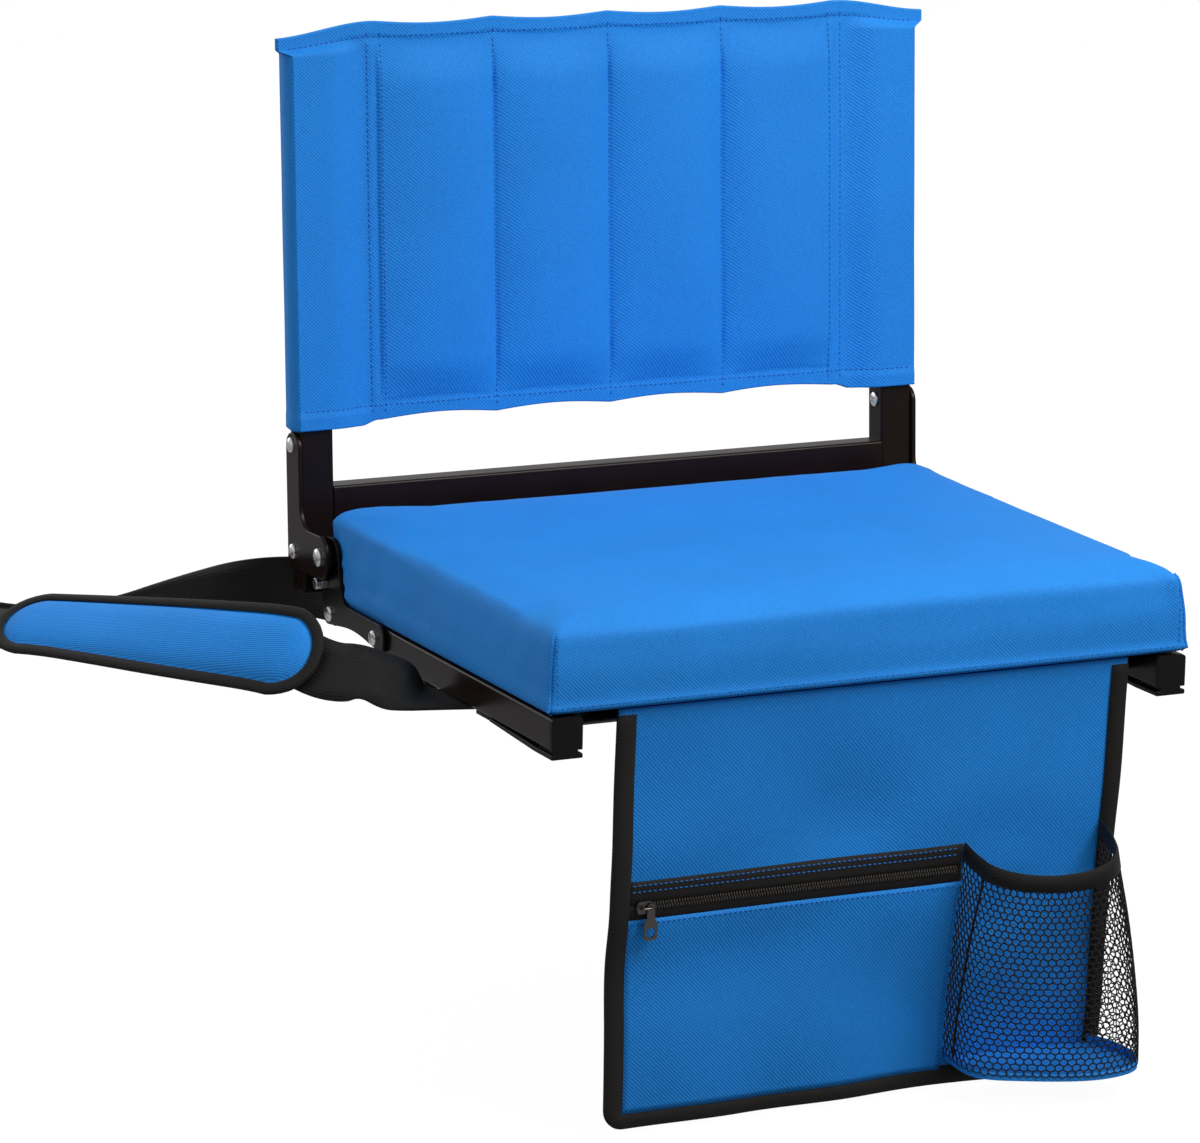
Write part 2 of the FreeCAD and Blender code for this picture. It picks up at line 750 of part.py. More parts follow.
def channel_core(index, inset, trim):
    """Lens-shaped prism inside one padded channel."""
    left = seam_xs[index] + core_inset + inset
    right = seam_xs[index + 1] - core_inset - inset
    low = sleeve_bottom + pad_low + trim
    high = sleeve_bottom + pad_high - trim
    ends = (Vector(left, seam_y, low), Vector(right, seam_y, low))
    middle = (ends[0] + ends[1]) * 0.5
    front = middle - Vector(0, channel_front * 0.9 - seam_thickness / 2 - inset, 0)
    rear = middle + Vector(0, channel_rear * 0.9 - seam_thickness / 2 - inset, 0)
    lens = Part.Wire([
        Part.Arc(ends[0], front, ends[1]).toShape(),
        Part.Arc(ends[1], rear, ends[0]).toShape(),
    ])
    return Part.Face(lens).extrude(Vector(0, 0, high - low))


for channel in range(channel_count):
    sleeve = sleeve.cut(channel_core(channel, 0, 0))
pads = Part.makeCompound([channel_core(i, foam_gap, foam_gap) for i in range(channel_count)])
nodes["back_sleeve"] = leaned(sleeve)
nodes["back_pads"] = leaned(pads)

# Flap panel and its folded binding on three edges
flap_bottom = flap_z - flap_height


def flap_outline(grow):
    return [
        (flap_left - grow, flap_z, 0),
        (flap_right + grow, flap_z, 0),
        (flap_right - flap_taper + grow, flap_bottom - grow, flap_corner_r + grow),
        (flap_left - grow, flap_bottom - grow, flap_corner_r + grow),
    ]


flap_panel = prism(flap_outline(0), on_y(flap_face), Vector(0, flap_cloth, 0))
binding_face = flap_face - binding_cloth
binding_depth = flap_cloth + 2 * binding_cloth
binding_top = flap_z - binding_drop
binding = prism(flap_outline(binding_cloth), on_y(binding_face), Vector(0, binding_depth, 0))
window = prism(flap_outline(-binding_width), on_y(binding_face), Vector(0, binding_depth, 0))
above_binding = block(
    2 * flap_left, 2 * flap_right, binding_face, flap_y + binding_depth, binding_top, flap_z)
nodes["flap_binding"] = hung(binding.cut(window).cut(flap_panel).cut(above_binding))
nodes["flap_panel"] = hung(flap_panel)

# Zip pocket: two tapes, the closed coil and the cloth panel below
zip_left = flap_left + binding_width + touch_gap
coil_z = flap_z - zip_centre
tape_face = flap_face - tape_thickness
upper_tape = block(zip_left, zip_right, tape_face, flap_face, coil_z + touch_gap, flap_z - zip_top)
lower_tape = block(zip_left, zip_right, tape_face, flap_face, flap_z - zip_bottom, coil_z - touch_gap)
coil_left = zip_left + coil_end
coil_right = zip_right - coil_end
coil_profile = [
    (tape_face, coil_z - coil_width / 2, 0),
    (tape_face, coil_z + coil_width / 2, 0),
    (tape_face - coil_height, coil_z + coil_width / 4, 0),
    (tape_face - coil_height, coil_z - coil_width / 4, 0),
]
coil = prism(coil_profile, on_x(coil_left), Vector(coil_right - coil_left, 0, 0))
pocket_top = flap_z - zip_bottom
pocket_bottom = flap_bottom + binding_width + touch_gap
pocket_panel = [
    (zip_left, pocket_bottom, pocket_corner_r),
    (zip_right - pocket_slant, pocket_bottom, 0),
    (zip_right, pocket_top, 0),
    (zip_left, pocket_top, 0),
]
nodes["zip_upper_tape"] = hung(upper_tape)
nodes["zip_lower_tape"] = hung(lower_tape)
nodes["zip_coil"] = hung(coil)
nodes["pocket_panel"] = hung(prism(
    pocket_panel, on_y(flap_face - pocket_cloth), Vector(0, pocket_cloth, 0)))

# Zip slider with its bail, and the pull tab that hangs on the bail
slider_x = coil_left + slider_length / 2
slider_back = tape_face - slider_gap
slider_inner = tape_face - coil_height - slider_gap
slider_face = slider_inner - slider_wall
slider_half = coil_width / 2 + slider_gap + slider_wall
slider_side = [
    (slider_x - slider_length / 2, coil_z - slider_half, slider_tail_r),
    (slider_x + slider_length / 2, coil_z - slider_half, slider_nose_r),
    (slider_x + slider_length / 2, coil_z + slider_half, slider_nose_r),
    (slider_x - slider_length / 2, coil_z + slider_half, slider_tail_r),
]
slider = prism(slider_side, on_y(slider_face), Vector(0, slider_back - slider_face, 0))
slider = slider.cut(block(
    slider_x - slider_length, slider_x + slider_length, slider_inner, slider_back + 1,
    coil_z - coil_width / 2 - slider_gap, coil_z + coil_width / 2 + slider_gap))
bail_y = slider_face - bail_rise
leg_xs = (slider_x - bail_span / 2, slider_x + bail_span / 2)
for leg_x in leg_xs:
    slider = slider.fuse(rod_y(bail_r, bail_y - bail_r, slider_face + bail_sink, leg_x, coil_z))
slider = slider.fuse(rod_x(bail_bar_share * bail_r, *leg_xs, bail_y, coil_z))
nodes["zip_slider"] = hung(slider.removeSplitter())

pull_x = leg_xs[1]
pull_face = slider_face - bail_rise / 2 - pull_thickness / 2 + pull_nearness
pull_rear = pull_face + pull_thickness
pull_tip = coil_z + pull_neck_r - pull_length
pull_shoulder = coil_z - pull_shoulder_share * pull_length
pull_side = [
    (pull_x - pull_neck_r, coil_z + pull_neck_r, pull_corner_r),
    (pull_x + pull_neck_r, coil_z + pull_neck_r, pull_corner_r),
    (pull_x + pull_neck_r, pull_shoulder, 0),
    (pull_x + pull_width / 2, pull_shoulder - pull_shoulder_drop, 0),
    (pull_x + pull_width / 2, pull_tip, pull_corner_r),
    (pull_x - pull_width / 2, pull_tip, pull_corner_r),
    (pull_x - pull_width / 2, pull_shoulder - pull_shoulder_drop, 0),
    (pull_x - pull_neck_r, pull_shoulder, 0),
]
pull = prism(pull_side, on_y(pull_face), Vector(0, pull_thickness, 0))
pull = pull.cut(rod_y(bail_r + running_gap, pull_face - 1, pull_rear + 1, pull_x, coil_z))
grip_z = pull_tip + pull_hole_r + pull_hole_inset
pull = pull.cut(rod_y(pull_hole_r, pull_face - 1, pull_rear + 1, pull_x, grip_z))
nodes["zip_pull"] = hung(pull)

# Bottle pocket: three flat nets, a rim and a cloth base
pouch_wall = flap_face - touch_gap
pouch_plan = (
    (pouch_left, pouch_wall),
    (pouch_left + pouch_flare_left, pouch_wall - pouch_depth_left),
    (pouch_right + pouch_flare_right, pouch_wall - pouch_depth_right),
    (pouch_right + pouch_spread, pouch_wall),
)
net_top = flap_z - pouch_top - rim_height - touch_gap
net_bottom = flap_z - pouch_bottom


def net_panel(start, end):
    """Flat net between two plan points, one face with six-sided holes."""
    run = Vector(end[0] - start[0], end[1] - start[1], 0)
    length = run.Length - 2 * net_thickness
    height = net_top - net_bottom
    hole_r = (net_pitch - net_strand) / math.sqrt(3)
    row_step = net_pitch * math.sqrt(3) / 2
    columns = int((length - 2 * net_border) / net_pitch)
    rows = int((height - 2 * net_border - 2 * hole_r) / row_step) + 1
    left = (length - columns * net_pitch) / 2
    low = (height - (rows - 1) * row_step) / 2
    holes = []
    for row in range(rows):
        shift = 0.5 * (row % 2)
        for column in range(columns - row % 2):
            x = left + (column + 0.5 + shift) * net_pitch
            z = low + row * row_step
            turns = [math.radians(30 - 60 * i) for i in range(6)]
            points = [Vector(x + hole_r * math.cos(t), 0, z + hole_r * math.sin(t)) for t in turns]
            holes.append(Part.makePolygon(points + points[:1]))
    print("net gaps", len(holes))
    border = [Vector(0, 0, 0), Vector(length, 0, 0), Vector(length, 0, height), Vector(0, 0, height)]
    sheet = Part.Face(Part.makePolygon(border + border[:1]))
    sheet = sheet.cut(Part.makeCompound([Part.Face(hole) for hole in holes]))
    net = sheet.Faces[0].extrude(Vector(0, net_thickness, 0))
    net.translate(Vector(net_thickness, -net_thickness / 2, 0))
    net.rotate(Vector(0, 0, 0), Vector(0, 0, 1), math.degrees(math.atan2(run.y, run.x)))
    net.translate(Vector(start[0], start[1], net_bottom))
    return hung(net)


nodes["net_left"] = net_panel(pouch_plan[0], pouch_plan[1])
nodes["net_front"] = net_panel(pouch_plan[1], pouch_plan[2])
nodes["net_right"] = net_panel(pouch_plan[2], pouch_plan[3])
base_plan = [(x, y, r) for (x, y), r in zip(pouch_plan, (0, pouch_corner_r, pouch_corner_r, 0))]
nodes["pouch_base"] = hung(prism(
    base_plan, on_z(net_bottom - base_cloth - touch_gap), Vector(0, 0, base_cloth)))


# Routes: straight runs with tangent arcs, and the flat bands that follow them
station_step = 20.0
station_turn = 12.0


def route_frames(points, rolls, label):
    """Stations (length, place, run, width way, thickness way) along a rounded route."""
    stations = []
    count = len(points)
    runs = [(points[i + 1] - points[i]) for i in range(count - 1)]
    trims = [0.0] * count
    radii = []
    for i in range(1, count - 1):
        turn = runs[i - 1].getAngle(runs[i])
        trims[i] = 0.45 * min(runs[i - 1].Length, runs[i].Length)
        radii.append(round(trims[i] / math.tan(turn / 2), 1))
    print(label, "bend radii", radii)
    for i in range(count - 1):
        way = Vector(runs[i])
        way.normalize()
        start = points[i] + way * trims[i]
        end = points[i + 1] - way * trims[i + 1]
        steps = max(1, int(start.distanceToPoint(end) / station_step))
        for step in range(steps + 1):
            place = start + (end - start) * (step / steps)
            share = (place - points[i]).Length / runs[i].Length
            stations.append((place, way, rolls[i] + (rolls[i + 1] - rolls[i]) * share))
        if i < count - 2:
            onward = Vector(runs[i + 1])
            onward.normalize()
            turn = way.getAngle(onward)
            inward = (onward - way * math.cos(turn)) * (1 / math.sin(turn))
            radius = trims[i + 1] / math.tan(turn / 2)
            steps = max(2, int(math.degrees(turn) / station_turn))
            from_roll = stations[-1][2]
            share = trims[i + 1] / runs[i + 1].Length
            to_roll = rolls[i + 1] + (rolls[i + 2] - rolls[i + 1]) * share
            for step in range(1, steps):
                angle = turn * step / steps
                place = end + way * (radius * math.sin(angle)) + inward * (radius * (1 - math.cos(angle)))
                tangent = way * math.cos(angle) + inward * math.sin(angle)
                stations.append((place, tangent, from_roll + (to_roll - from_roll) * step / steps))
    frames = []
    length = 0.0
    for i, (place, way, roll) in enumerate(stations):
        if i:
            length += place.distanceToPoint(stations[i - 1][0])
        standing = upward - way * way.z
        standing.normalize()
        lying = way.cross(standing)
        lean_angle = math.radians(roll)
        width_way = standing * math.cos(lean_angle) + lying * math.sin(lean_angle)
        frames.append((length, place, way, width_way, way.cross(width_way)))
    return frames


def frame_at(frames, length):
    for before, after in zip(frames, frames[1:]):
        if after[0] >= length > before[0] - 1e-9:
            share = (length - before[0]) / (after[0] - before[0])
            return [a + (b - a) * share for a, b in zip(before[1:], after[1:])]
    return frames[-1][1:]


def band_section(frame, width, thickness):
    place, way, width_way, thick_way = frame
    across = width_way * (width / 2)
    through = thick_way * (thickness / 2)
    left = place - across
    right = place + across
    return [right + through, left + through, left - through, right - through]


def band(frames, width, thickness):
    return skin([band_section(frame[1:], width, thickness) for frame in frames])


# Elastic rim of the bottle pocket
rim_z = flap_z - pouch_top - rim_height / 2
rim_points = [Vector(x, min(y, pouch_wall - fit_gap), rim_z) for x, y in pouch_plan]
rim = band(route_frames(rim_points, [0.0] * 4, "rim"), rim_height, rim_thickness)
nodes["pouch_rim"] = hung(rim)

# Carrying strap: from under the rear tube, round through the shoulder pad, to under the left rail
# Each stop holds its plan place from an end's screw, and how far the band leans from standing on its edge
rear_stops = (
    (0.0, -strap_start_tail, 90.0),
    (0.0, 15.0, 90.0),
    (-4.0, 45.0, 45.0),
    (-26.0, 68.0, 6.0),
    (-64.0, 79.0, -6.0),
    (-112.0, 73.0, -30.0),
    (-167.0, 77.0, -60.0),
    (-216.0, 113.0, -66.0),
    (-256.0, 135.0, -45.0),
    (-280.0, 105.0, -40.0),
    (-256.0, 76.0, -62.0),
)
front_stops = (
    (-190.0, 242.0, -66.0),
    (-154.0, 184.0, -57.0),
    (-122.0, 129.0, -48.0),
    (-87.0, 73.0, -38.0),
    (-73.0, 51.0, -40.0),
    (-54.0, 29.0, -54.0),
    (-38.0, 12.0, -78.0),
    (-26.0, 5.0, -90.0),
    (9.0, -strap_end_tail, -90.0),
)
strap_stops = [(strap_start.x + x, strap_start.y + y, roll) for x, y, roll in rear_stops]
strap_stops += [(strap_end.x + x, strap_end.y + y, roll) for x, y, roll in front_stops]
pad_from_stop = len(rear_stops)
pad_to_stop = pad_from_stop + 3
level_stops = 2


def strap_height(index):
    lean_angle = math.radians(strap_stops[index][2])
    if index < level_stops:
        return strap_start.z - strap_thickness / 2 - touch_gap
    if index >= len(strap_stops) - level_stops:
        return rail_bottom - strap_thickness / 2 - touch_gap
    half = pad_half_width if pad_from_stop <= index <= pad_to_stop else strap_width / 2
    rest = strap_thickness if half < pad_half_width else strap_lift
    return half * math.cos(lean_angle) + rest + strap_lift


strap_points = [Vector(x, y, strap_height(i)) for i, (x, y, roll) in enumerate(strap_stops)]
strap_frames = route_frames(strap_points, [roll for x, y, roll in strap_stops], "strap")
print("strap length", round(strap_frames[-1][0]))
strap = band(strap_frames, strap_width, strap_thickness)
for fixing in (strap_start, strap_end):
    strap = strap.cut(screw_hole(
        screw_r + bolt_clearance, fixing.x, fixing.y, fixing.z - 2 * strap_thickness, 3 * strap_thickness))
nodes["carry_strap"] = strap
screw_drop = upward * (strap_thickness + 2 * touch_gap)
strap_screw_length = strap_thickness + strap_screw_bite
strap_screws = [screw(end - screw_drop, strap_screw_length) for end in (strap_start, strap_end)]
nodes["strap_screws"] = Part.makeCompound(strap_screws)


# Shoulder pad: rounded ends, a raised middle, a flat edge held in a folded binding
def pad_stations(half_width, length):
    """Length along the pad and half width there, from one rounded end to the other."""
    ends = [math.radians(a) for a in (22, 45, 68, 90)]
    straight = length / 2 - half_width
    tail = [(-straight - half_width * math.cos(a), half_width * math.sin(a)) for a in ends]
    nose = [(-s, b) for s, b in reversed(tail)]
    return tail + [(0.0, half_width)] + nose


pad_centre = (strap_points[pad_from_stop] + strap_points[pad_to_stop]) * 0.5
pad_middle = min((frame[1].distanceToPoint(pad_centre), frame[0]) for frame in strap_frames)[1]
pad_offset = strap_thickness / 2 + 5 * fit_gap + pad_edge / 2 + pad_binding_cloth + keeper_wall


def pad_section(station, half, profile):
    place, way, width_way, thick_way = frame_at(strap_frames, pad_middle + station)
    centre = place + thick_way * pad_offset
    return [centre + width_way * a + thick_way * b for a, b in profile(half)]


def flat_profile(half, thickness):
    t = thickness / 2
    return [(-half, -t), (half, -t), (half, t), (-half, t)]


def ring_profile(half):
    return flat_profile(half, pad_edge + 2 * pad_binding_cloth)


def window_profile(half):
    return flat_profile(half, 8 * pad_front)


def crowned_profile(half):
    """Flat edge with a raised middle on the front."""
    edge = half - (pad_binding - pad_binding_cloth)
    rise = pad_front * half / pad_half_width
    shares = [1 - 2 * i / crown_steps for i in range(crown_steps + 1)]
    crown = [(edge * s, pad_edge / 2 + rise * (1 - s * s)) for s in shares]
    base, low, high, far = flat_profile(half, pad_edge)
    return [base, low, high] + crown + [far]


def pad_form(half_width, length, profile):
    return skin([pad_section(s, b, profile) for s, b in pad_stations(half_width, length)])


core_trim = pad_binding_cloth
pad_core = pad_form(pad_half_width - core_trim, pad_length - 2 * core_trim, crowned_profile)
pad_ring = pad_form(pad_half_width, pad_length, ring_profile)
pad_window = pad_form(pad_half_width - pad_binding, pad_length - 2 * pad_binding, window_profile)
nodes["shoulder_pad"] = pad_core
nodes["shoulder_pad_binding"] = pad_ring.cut(pad_window).cut(pad_core)


def keeper(station):
    """Loop of cloth behind the pad that holds the strap."""

    def frames_over(length):
        middle = pad_middle + station
        return [(0.0, *frame_at(strap_frames, middle + length * share)) for share in (-0.5, 0.0, 0.5)]

    inside_width = strap_width + 8 * fit_gap
    inside = strap_thickness + 8 * fit_gap
    loop = band(frames_over(keeper_length), inside_width + 2 * keeper_wall, inside + 2 * keeper_wall)
    return loop.cut(band(frames_over(1.2 * keeper_length), inside_width, inside))


keeper_place = pad_length / 2 - keeper_spacing * keeper_length
nodes["pad_keepers"] = Part.makeCompound([keeper(-keeper_place), keeper(keeper_place)])

# One STEP file per piece
os.makedirs("parts", exist_ok=True)
for name, shape in nodes.items():
    shape.exportStep("parts/" + name + ".step")
print(len(nodes), "pieces")
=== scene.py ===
# %% [markdown]
# A folding stadium seat: a black steel frame, a blue box cushion, a padded back in a sewn sleeve,
# a pocketed flap over the bench's front edge and a carrying strap with a shoulder pad.
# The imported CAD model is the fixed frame. Every piece below is made in that same frame, in metres,
# so a piece only has to be modelled where the CAD says it is.

# %% Load the frame
import math
import bmesh
import bpy
from mathutils import Matrix, Vector, noise
from mathutils.bvhtree import BVHTree


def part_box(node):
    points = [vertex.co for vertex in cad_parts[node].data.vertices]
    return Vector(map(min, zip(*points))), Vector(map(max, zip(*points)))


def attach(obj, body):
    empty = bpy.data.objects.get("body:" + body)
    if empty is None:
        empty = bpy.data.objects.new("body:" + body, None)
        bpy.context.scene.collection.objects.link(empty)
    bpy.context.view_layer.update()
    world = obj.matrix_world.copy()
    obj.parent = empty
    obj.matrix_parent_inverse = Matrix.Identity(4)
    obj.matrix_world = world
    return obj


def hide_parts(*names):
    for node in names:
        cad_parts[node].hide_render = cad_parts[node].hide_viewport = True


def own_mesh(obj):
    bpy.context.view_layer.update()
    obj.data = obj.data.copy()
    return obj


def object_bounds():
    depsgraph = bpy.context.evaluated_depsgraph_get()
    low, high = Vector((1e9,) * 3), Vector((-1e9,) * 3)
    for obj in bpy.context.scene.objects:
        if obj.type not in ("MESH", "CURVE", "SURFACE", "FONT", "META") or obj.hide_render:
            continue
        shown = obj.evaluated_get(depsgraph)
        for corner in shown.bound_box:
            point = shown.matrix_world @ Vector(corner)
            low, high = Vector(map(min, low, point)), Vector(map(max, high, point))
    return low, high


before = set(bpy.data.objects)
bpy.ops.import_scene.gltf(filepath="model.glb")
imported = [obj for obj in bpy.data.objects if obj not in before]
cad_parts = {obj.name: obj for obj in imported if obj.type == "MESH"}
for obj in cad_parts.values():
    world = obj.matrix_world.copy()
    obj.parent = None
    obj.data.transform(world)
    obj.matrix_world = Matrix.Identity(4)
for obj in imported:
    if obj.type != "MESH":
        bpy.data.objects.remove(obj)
cad_box = [list(corner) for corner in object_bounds()]
scene = bpy.context.scene
mm = 0.001
print("CAD box", [[round(v, 3) for v in corner] for corner in cad_box])

# %% [markdown]
# The camera stands where the photographer stood: in front, to the left and a little above, far enough
# away that the perspective is mild. The long lens is worked out for a frame of 1200 by 1143 pixels.

# %% Camera
def turn_by(degrees, axis):
    """A turn about one of the main axes."""
    return Matrix.Rotation(math.radians(degrees), 4, axis)


camera_place = (-1.4404, -2.8991, 0.7702)
camera_turn, camera_down, camera_roll = -24.52, 12.28, 0.32
camera_data = bpy.data.cameras.new("camera")
camera_data.sensor_width = 36
camera_data.lens = 161.1
camera = bpy.data.objects.new("camera", camera_data)
scene.collection.objects.link(camera)
turn = turn_by(camera_turn, "Z")
tilt = turn_by(90 - camera_down, "X")
roll = turn_by(camera_roll, "Z")
camera.matrix_world = Matrix.Translation(camera_place) @ turn @ tilt @ roll
scene.camera = camera
print("camera at", camera_place)

# %% [markdown]
# Colours are written as the hex values that a picture editor shows and turned to linear light once.
# One small function adds a shader node with its settings and links. The others start a finish, write
# a bmesh to an object, and make it a finished piece that rides on a CAD body.

# %% Colours, nodes and pieces
def linear(colour):
    channels = [int(colour[i:i + 2], 16) / 255 for i in (1, 3, 5)]
    return [c / 12.92 if c <= 0.04045 else ((c + 0.055) / 1.055) ** 2.4 for c in channels] + [1.0]


def add_node(tree, kind, values, links, **settings):
    node = tree.nodes.new("ShaderNode" + kind)
    for name, value in settings.items():
        setattr(node, name, value)
    for socket, value in values.items():
        node.inputs[socket].default_value = value
    for socket, source in links.items():
        tree.links.new(source, node.inputs[socket])
    return node


def start_finish(name, colour, **sockets):
    material = bpy.data.materials.new(name)
    material.use_nodes = True
    shader = material.node_tree.nodes["Principled BSDF"]
    shader.inputs["Base Color"].default_value = linear(colour)
    for socket, value in sockets.items():
        shader.inputs[socket.replace("_", " ")].default_value = value
    return material, material.node_tree, shader


def new_object(work, name):
    """Writes a bmesh to a new object and frees it."""
    mesh = bpy.data.meshes.new(name)
    work.to_mesh(mesh)
    work.free()
    piece = bpy.data.objects.new(name, mesh)
    scene.collection.objects.link(piece)
    return piece


def finish_piece(work, name, finish, body, smooth=30):
    """Makes a bmesh a piece on a body, smooth except over edges sharper than smooth degrees."""
    for face in work.faces:
        face.smooth = True
    for edge in work.edges:
        edge.smooth = not (len(edge.link_faces) == 2 and edge.calc_face_angle() > math.radians(smooth))
    piece = new_object(work, name)
    piece.data.materials.append(finish)
    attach(piece, body)
    return piece


print("a mid grey of #808080 is", round(linear("#808080")[0], 3), "in linear light")

# %% [markdown]
# The studio has a wide pale floor. The seat sits on a bench that isn't shown, so the floor lies just below
# the hanging flap. For camera and transmission rays most of it is plain white. The steel mirrors it as
# a mid grey, and the light that it throws back up is weak.

# %% Floor
def direct_rays(tree):
    """The light path node, and one that is 1 for rays from the camera or through something clear."""
    paths = add_node(tree, "LightPath", {}, {})
    direct = {0: paths.outputs["Is Camera Ray"], 1: paths.outputs["Is Transmission Ray"]}
    return paths, add_node(tree, "Math", {}, direct, operation="MAXIMUM")


floor_z = cad_box[0][2] - 4 * mm
floor_finish, tree, shader = start_finish("matt_backdrop_paper", "#FFFFFF", Roughness=0.9)
paths, seen = direct_rays(tree)
paper = add_node(tree, "Mix", {"A": linear("#4A4A4A"), "B": linear("#FFFFFF")},
                 {"Factor": seen.outputs[0]}, data_type="RGBA")
tree.links.new(paper.outputs["Result"], shader.inputs["Base Color"])
mirrored = add_node(tree, "Math", {}, {0: seen.outputs[0], 1: paths.outputs["Is Glossy Ray"]},
                    operation="MAXIMUM")
share = add_node(tree, "Math", {1: 0.92}, {0: mirrored.outputs[0]}, operation="MULTIPLY")
glow = add_node(tree, "MapRange", {"To Min": 0.35, "To Max": 1.05}, {"Value": seen.outputs[0]})
white = add_node(tree, "Emission", {}, {"Strength": glow.outputs[0]})
mixed = add_node(tree, "MixShader", {}, {0: share.outputs[0], 1: shader.outputs[0], 2: white.outputs[0]})
tree.links.new(mixed.outputs[0], tree.nodes["Material Output"].inputs["Surface"])
work = bmesh.new()
bmesh.ops.create_grid(work, x_segments=8, y_segments=8, size=30)
bmesh.ops.translate(work, verts=work.verts, vec=(0, 0, floor_z))
floor = new_object(work, "floor")
floor.data.materials.append(floor_finish)
print("floor at", round(floor_z, 3))

# %% [markdown]
# The world is white where it is seen and lights the seat evenly from all round. Two soft lamps hang over
# the front, a weak one fills the left side, and two wide ones stand behind: one lights the upper edges,
# and a low one lights the rear cloth and gives the bolt heads their sparkle.

# %% World and lamps
world = bpy.data.worlds.new("studio")
scene.world = world
world.use_nodes = True
tree = world.node_tree
backdrop = tree.nodes["Background"]
backdrop.inputs["Color"].default_value = linear("#FFFFFF")
paths, seen = direct_rays(tree)
level = add_node(tree, "MapRange", {"To Min": 0.42, "To Max": 1.0}, {"Value": seen.outputs[0]})
tree.links.new(level.outputs[0], backdrop.inputs["Strength"])

lamps = (("key", (0.45, -0.7, 1.2), 0.9, 9.5),
         ("front", (0.9, -1.2, 1.4), 0.8, 12),
         ("fill", (-2.0, 0.3, 1.0), 1.2, 6),
         ("edges", (0.2, 2.2, 1.9), 1.4, 9),
         ("rear", (-0.9, 2.0, 0.6), 1.2, 5))
seat_middle = Vector((0, 0.02, 0.08))
for name, place, size, power in lamps:
    lamp_data = bpy.data.lights.new(name, "AREA")
    lamp_data.size = size
    lamp_data.energy = power
    lamp = bpy.data.objects.new(name, lamp_data)
    lamp.visible_camera = False
    scene.collection.objects.link(lamp)
    aim = (seat_middle - Vector(place)).to_track_quat("-Z", "Y")
    lamp.matrix_world = Matrix.Translation(place) @ aim.to_matrix().to_4x4()
scene.view_settings.view_transform = "Standard"
print("lamps:", ", ".join(name for name, place, size, power in lamps))

# %% [markdown]
# Powder-coated steel: sprayed powder melts to a thick skin with a faint orange peel about 1.2 mm across.
# The tubes are a glossy black, and the slight brown cast in their colour is a painted reflection of warm
# surroundings. The two seat brackets have a duller black satin coat.
# The bolts are bright with a thin electroplated skin of zinc, which has faint cloudy streaks, and
# the zip's metal parts are die-cast zinc under a dark plated skin.

# %% Painted and plated steel
def painted(name, colour, worn, roughness):
    material, tree, shader = start_finish(name, colour, Roughness=roughness, IOR=1.42,
                                          Specular_IOR_Level=0.2)
    place = add_node(tree, "TexCoord", {}, {})
    where = {"Vector": place.outputs["Object"]}
    peel = add_node(tree, "TexNoise", {"Scale": 1 / (1.2 * mm), "Detail": 2.0}, where)
    cloud = add_node(tree, "TexNoise", {"Scale": 1 / (30 * mm), "Detail": 3.0}, where)
    tone = add_node(tree, "Mix", {"A": linear(colour), "B": linear(worn)},
                    {"Factor": cloud.outputs["Fac"]}, data_type="RGBA")
    tree.links.new(tone.outputs["Result"], shader.inputs["Base Color"])
    rough = add_node(tree, "MapRange", {"To Min": roughness - 0.06, "To Max": roughness + 0.08},
                     {"Value": cloud.outputs["Fac"]})
    tree.links.new(rough.outputs[0], shader.inputs["Roughness"])
    bump = add_node(tree, "Bump", {"Strength": 0.05, "Distance": 0.2 * mm},
                    {"Height": peel.outputs["Fac"]})
    tree.links.new(bump.outputs[0], shader.inputs["Normal"])
    return material


def plated(name, colour, streak, detail, brightest, dullest):
    material, tree, shader = start_finish(name, colour, Metallic=1.0, Roughness=0.3)
    place = add_node(tree, "TexCoord", {}, {})
    cloud = add_node(tree, "TexNoise", {"Scale": 1 / (streak * mm), "Detail": detail},
                     {"Vector": place.outputs["Object"]})
    rough = add_node(tree, "MapRange", {"To Min": brightest, "To Max": dullest},
                     {"Value": cloud.outputs["Fac"]})
    tree.links.new(rough.outputs[0], shader.inputs["Roughness"])
    return material


# The brown cast of the gloss black is a painted reflection of warm surroundings.
gloss_black = painted("gloss_black_powder_coat", "#180F0D", "#221714", 0.24)
satin_black = painted("satin_black_powder_coat", "#100E0D", "#191615", 0.3)
zinc = plated("bright_zinc_plating", "#F0F0F2", 2, 3.0, 0.16, 0.36)
gunmetal = plated("dark_plated_die_cast_zinc", "#6A6866", 1, 2.0, 0.22, 0.42)
print("steel finishes:", gloss_black.name, satin_black.name, zinc.name, gunmetal.name)

# %% [markdown]
# Moulded polypropylene: end caps, plugs and feet come out of a spark-eroded mould, which leaves a fine
# matt grain of about 0.4 mm. It is drawn at 0.8 mm here so that it shows. The zip's coil is black nylon
# coloured a mid grey: a painted highlight for the light that its loops catch, so they show on the black
# tape.

# %% Moulded plastic and nylon
def moulded(name, colour, roughness, grain):
    material, tree, shader = start_finish(name, colour, Roughness=roughness, IOR=1.49,
                                          Specular_IOR_Level=0.2)
    place = add_node(tree, "TexCoord", {}, {})
    speck = add_node(tree, "TexNoise", {"Scale": 1 / (grain * mm), "Detail": 2.0},
                     {"Vector": place.outputs["Object"]})
    rough = add_node(tree, "MapRange", {"To Min": roughness - 0.08, "To Max": roughness + 0.1},
                     {"Value": speck.outputs["Fac"]})
    tree.links.new(rough.outputs[0], shader.inputs["Roughness"])
    bump = add_node(tree, "Bump", {"Strength": 0.15, "Distance": 0.1 * mm},
                    {"Height": speck.outputs["Fac"]})
    tree.links.new(bump.outputs[0], shader.inputs["Normal"])
    return material


